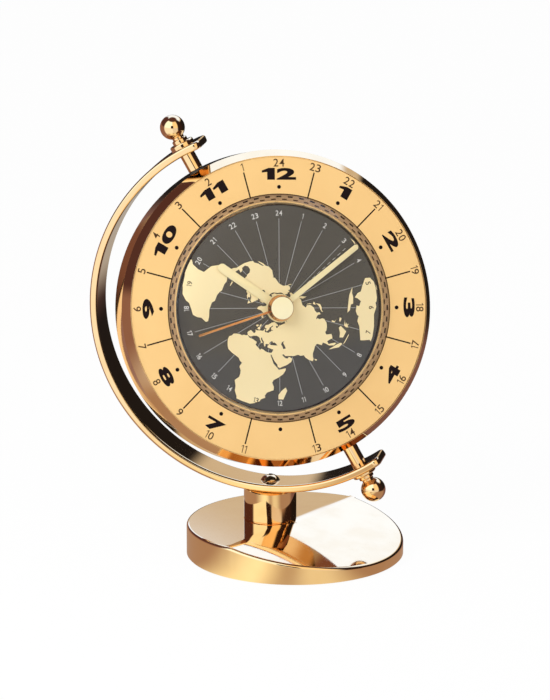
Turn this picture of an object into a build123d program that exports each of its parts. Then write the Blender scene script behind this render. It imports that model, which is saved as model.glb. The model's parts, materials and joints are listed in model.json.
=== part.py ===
from build123d import *
import math
import os

# World time clock: a round drum with a turning world disc, pivoted on a leaning axis in a C-shaped
# arm, on a short post and a round base. Millimetres, +Z up. The origin is the middle of the felt
# pad's underside, so the clock stands on Z = 0. The arm lies in an XZ plane and -Y is the front.

# Clearances that the fits share
shaft_clearance = 0.05        # radial, every turning shaft in its bore
thread_clearance = 0.03       # radial, every screw in its tapped hole
seat_clearance = 0.1          # radial, every disc or ring dropped into its seat
running_gap = 0.3             # axial, between pieces that turn past each other
cut_overrun = 2.0             # how far a cutting tool runs past what it cuts

# Base
base_radius = 36.4
base_height = 11.0            # from the table to the level part of the top
facet_slope_angle = 9.8       # the front right part of the top falls away by this much
facet_direction_angle = -24.3 # the way it falls, seen from above, counted from +X
crease_gap = 0.2              # from the post's foot to the crease where the fall starts
crease_blend_radius = 22.0
base_rim_radius = 1.0
base_foot_chamfer = 0.4
pad_thickness = 1.2
pad_inset = 2.5               # from the base's edge to the felt pad's edge
pad_proud = 0.4               # how far the felt stands below the metal
pad_hole_radius = 5.0

# Post, and the screws that hold it between base and arm
post_radius = 8.85
post_height = 10.3            # from the base's level top to the lowest point of the arm
post_x = -9.3
post_y = 4.2
post_edge_chamfer = 0.25
post_seat_depth = 0.4         # sunk into the base's top
stand_screw_radius = 2.0
base_screw_head_radius = 4.0
base_screw_head_height = 2.6
base_screw_engagement = 4.4   # how far the screw goes up into the post
arm_screw_head_radius = 3.3
arm_screw_head_height = 2.1
arm_screw_engagement = 4.6
arm_screw_socket_radius = 1.1
arm_screw_socket_depth = 0.9

# Arm: a flat strip bent to a C round the drum
arm_gap = 7.05                # from the drum to the strip, were they concentric
arm_thickness = 2.65
arm_width = 13.6
arm_lead = 2.0                # the bend's centre lies this far right of the post
arm_upper_overhang_angle = 5.7
arm_lower_overhang_angle = 7.0
arm_corner_radius = 1.6
arm_edge_chamfer = 0.25

# Pivots, the same at both ends of the leaning axis
pivot_tilt_angle = 29.4       # the axis leans to the left of upright
drum_offset = 1.1             # the drum's middle lies left of the bend's centre
pivot_pin_radius = 2.5
pivot_spigot_radius = 1.5
pivot_spigot_length = 3.6     # inside the bush
bush_radius = 2.5
bush_recess = 0.06            # the bush ends this far inside the drum's wall
washer_thickness = 0.4
washer_gap = 0.05             # on either side of the washer
stud_radius = 1.5
stud_engagement = 4.2         # how far the knob's stud goes into the pivot pin
collar_radius = 4.15
collar_height = 1.45
collar_edge_radius = 0.6
ball_radius = 4.15
ball_reach = 7.1              # from the arm's outer surface to the ball's centre
neck_radius = 2.6
neck_height = 1.15
waist_radius = 2.0

# Drum, counted along the dial's normal from the pivot axis, which crosses its wall
drum_turn_angle = 28.1        # the drum is turned this far about the leaning axis
dial_lean_angle = 29.4        # the dial's 12 stands upright although the axis leans
case_rim = 2.0                # of the case's wall outside the rear cover
drum_back = 4.6               # behind the axis
wall_front = 6.6
bevel_front = 10.1
bevel_inset = 2.25            # radial width of the polished bevel
bevel_land = 0.1              # between the bevel and the dial's seat
wall_edge_radius = 0.25
back_edge_chamfer = 0.3
case_wall = 4.0

# Dial ring and its seat in the case
dial_front = 9.75
dial_thickness = 1.0
dial_band = 12.45             # from the dial's edge to the crystal's
dial_opening_gap = 0.4        # from the crystal's foot to the dial's opening
dial_shelf_inset = 5.05       # width of the shelf under the dial ring
crystal_seat_depth = 0.3

# Crystal: a clear moulding with a bevelled edge and a low dome
crystal_edge_height = 0.55
crystal_bevel_inset = 2.5
crystal_bevel_height = 2.9    # above the dial
crystal_height = 5.65
crystal_wall = 1.2
crystal_foot_width = 2.3

# Mounting plate behind the dial
plate_thickness = 1.2
plate_front = 5.2
plate_screw_radius = 0.7
plate_screw_head_radius = 1.2
plate_screw_head_height = 0.6
plate_screw_length = 3.0      # past the plate, into the shelf
plate_screw_count = 4

# Hands and their shafts
hour_pipe_radius = 2.5
minute_arbor_radius = 1.6
second_arbor_radius = 0.5
hour_tip_gap = 10.3           # from each hand's tip to the crystal's foot
hour_hand_width = 2.9
hour_hand_thickness = 0.35
minute_tip_gap = 1.8
minute_hand_width = 1.8
minute_hand_thickness = 0.3
second_tip_gap = 6.1
second_hand_width = 0.75
second_hand_thickness = 0.2
hour_eye_radius = 4.7
minute_eye_radius = 4.6
second_eye_radius = 4.4
hand_spacing = 0.4            # clear height between one hand and the next
cap_foot_radius = 4.3
cap_top_radius = 3.75
cap_height = 2.1
cap_edge_radius = 0.25
hour_hand_angle = 304.35      # clockwise from the dial's 12
minute_hand_angle = 52.2
second_hand_angle = 252.0

# World disc and the gears that turn it backwards, once in 24 hours
world_disc_thickness = 0.5
world_disc_depth = 0.45       # below the dial's face
disc_bush_radius = 4.4
disc_bush_height = 1.1
gear_module = 1.0
pressure_angle = 20.0
hour_pinion_teeth = 20
idler_teeth = 10
ring_gear_teeth = 40
gear_thickness = 1.2
gear_backlash = 0.16
tooth_root_share = 1.0        # depth below the pitch circle, in modules
hour_tip_share = 0.7          # heights above the pitch circle, in modules
idler_tip_share = 0.8
ring_tip_share = 0.5
ring_gear_rim = 2.0           # metal outside the ring gear's roots
idler_stud_radius = 1.25
idler_shoulder_radius = 2.2
idler_stud_proud = 0.1
idler_angle = 90.0            # where the idler sits, counted from the dial's 3 o'clock

# Movement, with one cell
movement_end_wall = 1.75      # past each end of the cell bay
movement_ceiling = 0.9        # in front of the cell bay
movement_bottom = 29.0        # below the hands' centre, towards the dial's 6
movement_corner_radius = 4.0
centre_tube_radius = 4.0
centre_nut_radius = 6.4
centre_nut_height = 1.5
bore_step = 1.5               # each shaft's bore ends this much deeper than the one around it
battery_radius = 7.1
battery_length = 49.6
battery_nub_radius = 2.7
battery_nub_length = 0.9
battery_wall = 1.2            # between cell bay and movement's edge
battery_clearance = 0.2
contact_thickness = 0.4
contact_width = 8.0
contact_spring_reach = 1.0
contact_spring_radius = 2.4

# Rear cover, battery door and set knob
cover_flange_rim = 4.6        # outside the circle of the case screws
cover_flange_thickness = 1.5
housing_gap = 1.04            # between the movement's corners and the housing's inside
housing_taper = 2.0
housing_edge_radius = 0.7
cover_wall = 1.6
cover_back_wall = 2.4
cover_depth_gap = 0.4         # between the movement and the cover
case_lug_radius = 3.0
case_screw_gap = 0.4          # between the screws' heads and the housing
case_lug_gap = 0.4            # between lug and mounting plate
case_screw_radius = 1.0
case_screw_head_radius = 2.1
case_screw_head_height = 1.3
case_screw_engagement = 4.5
case_lug_angles = (30.0, 150.0, 210.0, 330.0)
door_end_lap = 0.75           # past each end of the cell bay
door_inner_lap = 1.5          # past the mouth of the cell bay, towards the dial's 12
door_outer_lap = 3.2          # and towards its 6
door_thickness = 1.2
door_side_gap = 0.15
door_tongue_width = 0.8       # the door's sides run under lips of the cover
door_tongue_thickness = 0.5
door_grip_height = 0.35
door_grip_width = 0.7
door_grip_length = 16.0
door_grip_count = 4
bay_mouth_inset = 1.5         # the opening under the door is this much smaller all round
knob_radius = 6.0
knob_offset = 13.0            # towards the dial's 12
knob_proud = 1.0
knob_shaft_radius = 1.5
knob_shaft_length = 5.5
knob_hole_gap = 0.5
knob_flute_count = 24
knob_flute_radius = 0.35

# The movement's sizes follow from its cell, and the drum's and the arm's from the movement
bay_reach = battery_radius + battery_clearance
contact_space = 2 * contact_thickness + contact_spring_reach
bay_half_length = (battery_length + battery_nub_length + contact_space + battery_clearance) / 2
movement_width = 2 * (bay_half_length + movement_end_wall)
movement_depth = 2 * bay_reach + movement_ceiling
movement_half = movement_width / 2
corner_x = movement_half - movement_corner_radius
corner_y = max(movement_bottom, movement_width - movement_bottom) - movement_corner_radius
movement_reach = math.hypot(corner_x, corner_y) + movement_corner_radius
housing_back_radius = movement_reach + housing_gap + cover_wall
housing_radius = housing_back_radius + housing_taper
case_lug_circle_radius = housing_radius + case_screw_head_radius + case_screw_gap
cover_flange_radius = case_lug_circle_radius + cover_flange_rim
drum_radius = cover_flange_radius + seat_clearance + case_rim
dial_radius = drum_radius - bevel_inset - bevel_land - seat_clearance
arm_inner_radius = drum_radius + arm_gap
arm_radius = arm_inner_radius + arm_thickness
arm_centre_height = base_height + post_height + arm_radius

# Under the crystal, sizes follow from its foot
crystal_radius = dial_radius - dial_band
crystal_foot_radius = crystal_radius - crystal_foot_width
crystal_bevel_radius = crystal_radius - crystal_bevel_inset
dial_opening_radius = crystal_foot_radius - dial_opening_gap
hour_hand_length = crystal_foot_radius - hour_tip_gap
minute_hand_length = crystal_foot_radius - minute_tip_gap
second_hand_length = crystal_foot_radius - second_tip_gap

# Places worked out from the sizes above
metal_bottom = pad_proud
post_foot_height = base_height - post_seat_depth
arm_centre = Vector(post_x + arm_lead, post_y, arm_centre_height)
drum_centre = arm_centre - Vector(drum_offset, 0, 0)

tilt = math.radians(pivot_tilt_angle)
turn = math.radians(drum_turn_angle)
lean = math.radians(dial_lean_angle)
pivot_up = Vector(-math.sin(tilt), 0, math.cos(tilt))
pivot_side = Vector(math.cos(tilt), 0, math.sin(tilt))
dial_normal = pivot_side * math.sin(turn) - Vector(0, 1, 0) * math.cos(turn)
dial_across = pivot_side * math.cos(turn) + Vector(0, 1, 0) * math.sin(turn)
dial_three = dial_across * math.cos(lean) - pivot_up * math.sin(lean)
drum_place = Plane(origin=drum_centre, x_dir=dial_three, z_dir=dial_normal).location

case_bore_radius = drum_radius - case_wall
shelf_back = plate_front
shelf_front = dial_front - dial_thickness
shelf_inner_radius = dial_radius + seat_clearance - dial_shelf_inset
plate_back = plate_front - plate_thickness
disc_front = dial_front - world_disc_depth
disc_back = disc_front - world_disc_thickness
disc_radius = dial_opening_radius - running_gap
nut_front = plate_front + centre_nut_height
gear_back = nut_front + running_gap
gear_front = gear_back + gear_thickness
disc_bush_back = gear_front + running_gap
disc_bush_front = disc_bush_back + disc_bush_height
hour_back = disc_bush_front + running_gap
hour_front = hour_back + hour_hand_thickness
minute_back = hour_front + hand_spacing
minute_front = minute_back + minute_hand_thickness
second_back = minute_front + hand_spacing
second_front = second_back + second_hand_thickness
movement_front = plate_back
movement_back = movement_front - movement_depth
cover_inside = movement_back - cover_depth_gap
cover_back = cover_inside - cover_back_wall
flange_back = -drum_back
flange_front = flange_back + cover_flange_thickness
hour_bore_end = -running_gap
minute_bore_end = hour_bore_end - bore_step
second_bore_end = minute_bore_end - bore_step


def turned(outline):
    # A solid of revolution about Z from an outline of (radius, height) points
    face = make_face(Polyline(*outline, close=True))
    return revolve(Plane.XZ * face, Axis.Z)


def rod(radius, low, high, x=0.0, y=0.0):
    # An upright cylinder between two heights
    return Pos(x, y, low) * Cylinder(radius, high - low, align=(Align.CENTER, Align.CENTER, Align.MIN))


def tube(outer, inner, low, high):
    return turned([(inner, low), (outer, low), (outer, high), (inner, high)])


def block(x_low, x_high, y_low, y_high, z_low, z_high):
    size = (x_high - x_low, y_high - y_low, z_high - z_low)
    return Pos(x_low, y_low, z_low) * Box(*size, align=(Align.MIN, Align.MIN, Align.MIN))


def polar_place(radius, angle):
    # A point on a circle round Z
    a = math.radians(angle)
    return radius * math.cos(a), radius * math.sin(a)


def arm_cylinder(radius):
    # A full cylinder round the bend's axis, longer than any piece that it trims
    body = Cylinder(radius, 2 * (post_radius + arm_width))
    return Pos(arm_centre) * Rot(X=90) * body


def pivot_place(side):
    # Frame at the drum's middle whose Z points outwards along the axis: side 1 is up, -1 is down
    return Plane(origin=drum_centre, x_dir=dial_normal, z_dir=pivot_up * side).location


def pivot_reach(side, radius):
    # How far from the drum's middle the axis meets a circle round the bend's centre
    along = (pivot_up * side).dot(arm_centre - drum_centre)
    return along + math.sqrt(radius ** 2 - drum_offset ** 2 + along ** 2)


# Stand

def make_base():
    body = rod(base_radius, metal_bottom, base_height)
    fall = math.radians(facet_direction_angle)
    ahead = Vector(math.cos(fall), math.sin(fall), 0)
    slope = math.radians(facet_slope_angle)
    crease_point = Vector(post_x, post_y, base_height) + ahead * (post_radius + crease_gap)
    facet_normal = ahead * math.sin(slope) + Vector(0, 0, 1) * math.cos(slope)
    facet = Plane(origin=crease_point, z_dir=facet_normal)
    span = 4 * base_radius
    body = body - facet.location * Box(span, span, base_height, align=(Align.CENTER, Align.CENTER, Align.MIN))
    crease = [e for e in body.edges() if e.geom_type == GeomType.LINE]
    body = fillet(crease, crease_blend_radius)
    top_faces = [f for f in body.faces() if f.normal_at().Z > math.cos(2 * slope)]
    rim = []
    for face in top_faces:
        for edge in face.edges():
            middle = edge @ 0.5
            if math.hypot(middle.X, middle.Y) > base_radius - seat_clearance:
                rim.append(edge)
    body = fillet(rim, base_rim_radius)
    foot = body.edges().group_by(Axis.Z)[0]
    body = chamfer(foot, base_foot_chamfer)
    recess_top = pad_thickness
    body = body - rod(base_radius - pad_inset, metal_bottom - cut_overrun, recess_top)
    head_top = recess_top + base_screw_head_height
    body = body - rod(base_screw_head_radius + seat_clearance, recess_top - cut_overrun, head_top, post_x, post_y)
    seat_radius = post_radius + shaft_clearance
    body = body - rod(seat_radius, post_foot_height, base_height + cut_overrun, post_x, post_y)
    body = body - rod(stand_screw_radius + seat_clearance, recess_top, base_height + cut_overrun, post_x, post_y)
    return body


def make_base_pad():
    pad = rod(base_radius - pad_inset - seat_clearance, 0, pad_thickness)
    return pad - rod(pad_hole_radius, -cut_overrun, pad_thickness + cut_overrun, post_x, post_y)


def make_base_screw():
    head_bottom = pad_thickness
    head_top = head_bottom + base_screw_head_height
    tip = post_foot_height + base_screw_engagement
    screw = rod(base_screw_head_radius, head_bottom, head_top) + rod(stand_screw_radius, head_top, tip)
    slot_depth = base_screw_head_height / 3
    slot_half = stand_screw_radius / 4
    reach = base_screw_head_radius + cut_overrun
    slot = block(-reach, reach, -slot_half, slot_half, head_bottom - cut_overrun, head_bottom + slot_depth)
    return Pos(post_x, post_y, 0) * (screw - slot)


def make_post():
    body = rod(post_radius, post_foot_height, arm_centre_height, post_x, post_y)
    body = body - arm_cylinder(arm_radius)
    top = body.edges().group_by(Axis.Z)[-1]
    body = chamfer(top, post_edge_chamfer)
    radius = stand_screw_radius + thread_clearance
    hole = rod(radius, post_foot_height - cut_overrun, arm_centre_height, post_x, post_y)
    return body - hole


def arm_angles():
    # Start and end of the strip, counted from +X towards +Z
    upper = 90 + pivot_tilt_angle - arm_upper_overhang_angle
    lower = 270 + pivot_tilt_angle + arm_lower_overhang_angle
    return upper, lower


def make_arm():
    upper, lower = arm_angles()
    outer = CenterArc((0, 0), arm_radius, upper, lower - upper)
    inner = CenterArc((0, 0), arm_inner_radius, upper, lower - upper)
    ends = [Line(outer @ 0, inner @ 0), Line(outer @ 1, inner @ 1)]
    strip = make_face([outer, inner] + ends)
    body = Plane.XZ * extrude(strip, arm_width / 2, both=True)
    ends_at = [Vector(*polar_place(arm_radius, a)) for a in (upper, lower)]
    corners = []
    for edge in body.edges().filter_by(GeomType.LINE):
        low, high = edge @ 0, edge @ 1
        for end in ends_at:
            near = math.hypot((edge @ 0.5).X - end.X, (edge @ 0.5).Z - end.Y) < arm_thickness
            if near and abs(low.Y - high.Y) < arm_width / 2:
                corners.append(edge)
    body = fillet(corners, arm_corner_radius)
    long_edges = [e for e in body.edges() if e.length > arm_radius]
    body = chamfer(long_edges, arm_edge_chamfer)
    body = Pos(arm_centre) * body
    screw_hole = rod(stand_screw_radius + seat_clearance, base_height, arm_centre_height, post_x, post_y)
    body = body - screw_hole
    for side in (1, -1):
        start = pivot_reach(side, arm_inner_radius) - cut_overrun
        end = pivot_reach(side, arm_radius) + cut_overrun
        body = body - pivot_place(side) * rod(stud_radius + shaft_clearance, start, end)
    return body


def arm_floor_height():
    # Height of the strip's inner surface over the post
    return arm_centre_height - math.sqrt(arm_inner_radius ** 2 - arm_lead ** 2)


def make_arm_screw():
    floor = arm_floor_height()
    seat = floor + arm_screw_head_height
    dome_radius = (arm_screw_head_radius ** 2 + arm_screw_head_height ** 2) / (2 * arm_screw_head_height)
    dome = Pos(0, 0, seat - dome_radius) * Sphere(dome_radius)
    dome = dome & rod(dome_radius, floor - seat_clearance, seat + cut_overrun)
    foot_low = arm_centre_height - arm_radius - arm_screw_engagement
    shank = rod(stand_screw_radius, foot_low, floor)
    socket_low = seat - arm_screw_socket_depth
    hexagon = extrude(RegularPolygon(arm_screw_socket_radius, 6), arm_screw_socket_depth + cut_overrun)
    screw = dome + shank - Pos(0, 0, socket_low) * hexagon
    screw = Pos(post_x, post_y, 0) * screw
    under_head = arm_cylinder(arm_inner_radius) + rod(stand_screw_radius, base_height, floor, post_x, post_y)
    return screw & under_head


def make_knob(side):
    outside = pivot_reach(side, arm_radius)
    inside = pivot_reach(side, arm_inner_radius)
    neck_foot = outside + collar_height
    neck_top = neck_foot + neck_height
    ball_centre = outside + ball_reach
    waist_top = ball_centre - math.sqrt(ball_radius ** 2 - waist_radius ** 2)
    stud_low = inside - stud_engagement
    outline = [(0, stud_low), (stud_radius, stud_low), (stud_radius, neck_foot), (neck_radius, neck_foot)]
    outline += [(neck_radius, neck_top), (waist_radius, waist_top), (0, waist_top)]
    body = turned(outline) + Pos(0, 0, ball_centre) * Sphere(ball_radius)
    return pivot_place(side) * body


def make_collar(side):
    outside = pivot_reach(side, arm_radius)
    top = outside + collar_height
    body = tube(collar_radius, stud_radius + shaft_clearance, outside - arm_thickness, top)
    rim = [e for e in body.edges().group_by(Axis.Z)[-1] if e.length > 2 * math.pi * neck_radius]
    body = fillet(rim, collar_edge_radius)
    return pivot_place(side) * body - arm_cylinder(arm_radius)


def washer_foot():
    return drum_radius - bush_recess + washer_gap


def pin_shoulder():
    return washer_foot() + washer_thickness + washer_gap


def make_pivot_pin(side):
    inside = pivot_reach(side, arm_inner_radius)
    spigot_low = drum_radius - bush_recess - pivot_spigot_length
    body = rod(pivot_spigot_radius, spigot_low, pin_shoulder())
    body = body + rod(pivot_pin_radius, pin_shoulder(), inside + arm_thickness)
    hole_low = inside - stud_engagement - running_gap
    body = body - rod(stud_radius + thread_clearance, hole_low, inside + arm_thickness + cut_overrun)
    return pivot_place(side) * body & arm_cylinder(arm_inner_radius)


def make_friction_washer(side):
    low = washer_foot()
    inner = pivot_spigot_radius + shaft_clearance
    outer = pivot_pin_radius - washer_gap
    return pivot_place(side) * tube(outer, inner, low, low + washer_thickness)


# Drum: each piece is drawn round the dial's normal and then set in place

def make_case_ring():
    seat_radius = dial_radius + seat_clearance
    outline = [(shelf_inner_radius, shelf_back), (case_bore_radius, shelf_back), (case_bore_radius, flange_front)]
    outline += [(cover_flange_radius + seat_clearance, flange_front)]
    outline += [(cover_flange_radius + seat_clearance, flange_back)]
    outline += [(drum_radius - back_edge_chamfer, flange_back), (drum_radius, flange_back + back_edge_chamfer)]
    outline += [(drum_radius, wall_front), (drum_radius - bevel_inset, bevel_front), (seat_radius, bevel_front)]
    outline += [(seat_radius, shelf_front), (shelf_inner_radius, shelf_front)]
    body = turned(outline)
    wall_edges = []
    for edge in body.edges().filter_by(GeomType.CIRCLE):
        if abs(edge.radius - drum_radius) < seat_clearance and edge.center().Z > 0:
            wall_edges.append(edge)
    body = fillet(wall_edges, wall_edge_radius)
    for angle in case_lug_angles:
        x, y = polar_place(case_lug_circle_radius, angle)
        lug = rod(case_lug_radius, flange_front, plate_back - case_lug_gap, x, y)
        body = body + (lug & rod(case_bore_radius + case_wall / 2, flange_back, plate_back))
    for angle in case_lug_angles:
        x, y = polar_place(case_lug_circle_radius, angle)
        depth = case_screw_engagement + running_gap
        hole_low = flange_front - cut_overrun
        body = body - rod(case_screw_radius + thread_clearance, hole_low, flange_front + depth, x, y)
    for angle in plate_screw_angles():
        x, y = polar_place(plate_screw_circle(), angle)
        hole_top = plate_front + plate_screw_length + running_gap
        body = body - rod(plate_screw_radius + thread_clearance, plate_front - cut_overrun, hole_top, x, y)
    body = drum_place * body
    for side in (1, -1):
        bore = rod(bush_radius, case_bore_radius - case_wall, drum_radius + cut_overrun)
        body = body - pivot_place(side) * bore
    return body


def make_bush(side):
    high = drum_radius - bush_recess
    low = high - pivot_spigot_length
    return pivot_place(side) * tube(bush_radius, pivot_spigot_radius + shaft_clearance, low, high)


def make_dial_ring():
    seat_floor = dial_front - crystal_seat_depth
    seat_edge = crystal_radius + seat_clearance
    outline = [(dial_opening_radius, shelf_front), (dial_radius, shelf_front), (dial_radius, dial_front)]
    outline += [(seat_edge, dial_front), (seat_edge, seat_floor), (dial_opening_radius, seat_floor)]
    return drum_place * turned(outline)


def make_crystal():
    foot = dial_front - crystal_seat_depth
    knee = dial_front + crystal_bevel_height
    top = dial_front + crystal_height
    inner_knee_radius = crystal_bevel_radius - crystal_wall / 2
    inner_knee = knee - crystal_wall * 3 / 4
    inner_top = top - crystal_wall
    foot_inner = crystal_foot_radius
    edge_top = dial_front + crystal_edge_height
    outer_dome = arc_over(crystal_bevel_radius, knee, top)
    inner_dome = arc_over(inner_knee_radius, inner_knee, inner_top)
    side = Polyline((inner_knee_radius, inner_knee), (foot_inner, foot + crystal_wall), (foot_inner, foot),
                    (crystal_radius, foot), (crystal_radius, edge_top), (crystal_bevel_radius, knee))
    axis_line = Line((0, top), (0, inner_top))
    face = make_face([outer_dome, side, inner_dome, axis_line])
    return drum_place * revolve(Plane.XZ * face, Axis.Z)


def arc_over(radius, edge_height, top_height):
    # The arc of a dome from its top on the axis to its edge
    rise = top_height - edge_height
    sphere = (radius ** 2 + rise ** 2) / (2 * rise)
    half = math.asin(radius / sphere) / 2
    middle = (sphere * math.sin(half), top_height - sphere + sphere * math.cos(half))
    return ThreePointArc((0, top_height), middle, (radius, edge_height))


def plate_radius():
    return case_bore_radius - seat_clearance


def plate_screw_circle():
    return (shelf_inner_radius + case_bore_radius) / 2


def plate_screw_angles():
    return [360 / plate_screw_count * k for k in range(plate_screw_count)]


def idler_distance():
    return gear_module * (hour_pinion_teeth + idler_teeth) / 2


def make_dial_plate():
    body = rod(plate_radius(), plate_back, plate_front)
    body = body - rod(centre_tube_radius + seat_clearance, plate_back - cut_overrun, plate_front + cut_overrun)
    for angle in plate_screw_angles():
        x, y = polar_place(plate_screw_circle(), angle)
        radius = plate_screw_radius + seat_clearance
        body = body - rod(radius, plate_back - cut_overrun, plate_front + cut_overrun, x, y)
    x, y = polar_place(idler_distance(), idler_angle)
    body = body - rod(idler_stud_radius, plate_back - cut_overrun, plate_front + cut_overrun, x, y)
    return drum_place * body


def make_plate_screws():
    screws = []
    for angle in plate_screw_angles():
        x, y = polar_place(plate_screw_circle(), angle)
        head = rod(plate_screw_head_radius, plate_back - plate_screw_head_height, plate_back, x, y)
        shank = rod(plate_screw_radius, plate_back, plate_front + plate_screw_length, x, y)
        screws.append(drum_place * (head + shank))
    return Compound(screws)


def make_idler_stud():
    x, y = polar_place(idler_distance(), idler_angle)
    shoulder = rod(idler_shoulder_radius, plate_front, gear_back - running_gap, x, y)
    pin = rod(idler_stud_radius, plate_back, gear_front + idler_stud_proud, x, y)
    return drum_place * (shoulder + pin)


def make_centre_nut():
    body = Pos(0, 0, plate_front) * extrude(RegularPolygon(centre_nut_radius, 6), centre_nut_height)
    bore = rod(centre_tube_radius + thread_clearance, plate_front - cut_overrun, nut_front + cut_overrun)
    return drum_place * (body - bore)


# Movement, cell and contacts

def bay_centre():
    # Middle of the cell, in the drum's Y and Z
    y = -movement_bottom + battery_wall + bay_reach
    z = movement_back + bay_reach
    return y, z


def make_movement_case():
    outline = RectangleRounded(movement_width, movement_width, movement_corner_radius)
    body = Pos(0, movement_half - movement_bottom, movement_back) * extrude(outline, movement_depth)
    y, z = bay_centre()
    bay_back = movement_back - cut_overrun
    bay = block(-bay_half_length, bay_half_length, y - bay_reach, y + bay_reach, bay_back, z + bay_reach)
    body = body - bay
    body = body + rod(centre_tube_radius, movement_front - bore_step, nut_front)
    body = body - rod(hour_pipe_radius + shaft_clearance, hour_bore_end, nut_front + cut_overrun)
    body = body - rod(minute_arbor_radius + shaft_clearance, minute_bore_end, movement_front)
    body = body - rod(second_arbor_radius + shaft_clearance, second_bore_end, movement_front)
    shaft_bore = rod(knob_shaft_radius + shaft_clearance, movement_back - cut_overrun,
                     movement_back + knob_shaft_length, 0, knob_offset)
    return drum_place * (body - shaft_bore)


def cell_ends():
    # X of the cell's flat end and of the tip of its nub
    tip = bay_half_length - contact_thickness
    return tip - battery_nub_length - battery_length, tip


def make_battery():
    flat_end, tip = cell_ends()
    y, z = bay_centre()
    shoulder = tip - battery_nub_length
    outline = [(0, flat_end), (battery_radius, flat_end), (battery_radius, shoulder)]
    outline += [(battery_nub_radius, shoulder), (battery_nub_radius, tip), (0, tip)]
    cell = Rot(Y=90) * turned(outline)
    return drum_place * (Pos(0, y, z) * cell)


def contact_plate(x_low, x_high):
    y, z = bay_centre()
    half = contact_width / 2
    return block(x_low, x_high, y - half, y + half, z - half, z + half)


def make_positive_contact():
    end = bay_half_length
    return drum_place * contact_plate(end - contact_thickness, end)


def make_negative_contact():
    end = -bay_half_length
    y, z = bay_centre()
    plate = contact_plate(end, end + contact_thickness)
    reach = cell_ends()[0] - end
    dome = Cone(contact_spring_radius, contact_spring_radius / 2, reach, align=(Align.CENTER, Align.CENTER, Align.MIN))
    return drum_place * (plate + Pos(end, y, z) * Rot(Y=90) * dome)


# Rear cover, its screws, the battery door and the set knob

def bay_mouth():
    # Y of the inner and outer edge of the opening under the battery door
    y, z = bay_centre()
    half = bay_reach - bay_mouth_inset / 2
    return y + half, y - half


def door_edges():
    mouth_inner, mouth_outer = bay_mouth()
    return mouth_inner + door_inner_lap, mouth_outer - door_outer_lap


def door_half():
    return bay_half_length + door_end_lap


def make_back_cover():
    side_top = flange_front
    outer_back = housing_back_radius
    outline = [(cover_flange_radius, flange_front), (cover_flange_radius, flange_back)]
    outline += [(housing_radius, flange_back), (outer_back, cover_back + housing_edge_radius)]
    outline += [(outer_back - housing_edge_radius, cover_back), (0, cover_back), (0, cover_inside)]
    outline += [(outer_back - cover_wall, cover_inside), (housing_radius - cover_wall, flange_back)]
    outline += [(housing_radius - cover_wall, side_top)]
    body = turned(outline)
    for angle in case_lug_angles:
        x, y = polar_place(case_lug_circle_radius, angle)
        body = body - rod(case_screw_radius + seat_clearance, flange_back - cut_overrun, side_top + cut_overrun, x, y)
    knob_hole = rod(knob_radius + knob_hole_gap, cover_back - cut_overrun, cover_inside + cut_overrun, 0, knob_offset)
    body = body - knob_hole
    inner, outer = door_edges()
    half = door_half() + door_side_gap
    recess_floor = cover_back + door_thickness + door_side_gap
    lip_top = recess_floor - door_tongue_thickness - 2 * door_side_gap
    recess_end = inner + door_side_gap
    body = body - block(-half, half, -drum_radius, recess_end, lip_top, recess_floor)
    lip_half = half - door_tongue_width
    body = body - block(-lip_half, lip_half, -drum_radius, recess_end, cover_back - cut_overrun, lip_top)
    mouth_inner, mouth_outer = bay_mouth()
    side_half = half - bay_mouth_inset
    mouth = block(-side_half, side_half, mouth_outer, mouth_inner, cover_back, cover_inside + cut_overrun)
    return drum_place * (body - mouth)


def make_case_screws():
    screws = []
    for angle in case_lug_angles:
        x, y = polar_place(case_lug_circle_radius, angle)
        head = rod(case_screw_head_radius, flange_back - case_screw_head_height, flange_back, x, y)
        rim = head.edges().group_by(Axis.Z)[0]
        head = fillet(rim, case_screw_head_height / 3)
        shank = rod(case_screw_radius, flange_back, flange_front + case_screw_engagement, x, y)
        slot_half = case_screw_radius / 4
        slot_low = flange_back - case_screw_head_height - cut_overrun
        slot_top = flange_back - case_screw_head_height / 2
        reach = case_screw_head_radius
        slot = block(x - reach, x + reach, y - slot_half, y + slot_half, slot_low, slot_top)
        screws.append(drum_place * (head + shank - slot))
    return Compound(screws)


def make_battery_door():
    inner, outer = door_edges()
    half = door_half()
    tongue_back = cover_back + door_thickness - door_tongue_thickness
    door = block(-half, half, outer, inner, tongue_back, cover_back + door_thickness)
    lid_half = half - door_tongue_width
    door = door + block(-lid_half, lid_half, outer, inner, cover_back, tongue_back)
    grip_half = door_grip_length / 2
    for k in range(door_grip_count):
        y = outer + door_grip_width * (2 * k + 2)
        door = door + block(-grip_half, grip_half, y, y + door_grip_width, cover_back - door_grip_height, cover_back)
    return drum_place * door


def make_set_knob():
    knob_back = cover_back - knob_proud
    knob_front = movement_back - running_gap
    body = rod(knob_radius, knob_back, knob_front)
    for k in range(knob_flute_count):
        x, y = polar_place(knob_radius, 360 / knob_flute_count * k)
        body = body - rod(knob_flute_radius, knob_back - cut_overrun, knob_front + cut_overrun, x, y)
    body = body + rod(knob_shaft_radius, knob_front, movement_back + knob_shaft_length - running_gap)
    return drum_place * (Pos(0, knob_offset, 0) * body)


# Hands and shafts

def baton(length, width, thickness, low, eye_radius, bore_radius, angle):
    # A straight hand with a round tip and a round eye, turned clockwise from the dial's 12
    straight = length - width / 2
    blade = Pos(0, straight / 2, 0) * Rectangle(width, straight) + Pos(0, straight, 0) * Circle(width / 2)
    outline = blade + Circle(eye_radius) - Circle(bore_radius)
    return drum_place * (Rot(Z=-angle) * Pos(0, 0, low) * extrude(outline, thickness))


def make_hour_hand():
    return baton(hour_hand_length, hour_hand_width, hour_hand_thickness, hour_back, hour_eye_radius,
                 hour_pipe_radius, hour_hand_angle)


def make_hour_pipe():
    inner = minute_arbor_radius + shaft_clearance
    return drum_place * tube(hour_pipe_radius, inner, hour_bore_end + running_gap, hour_front)


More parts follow.
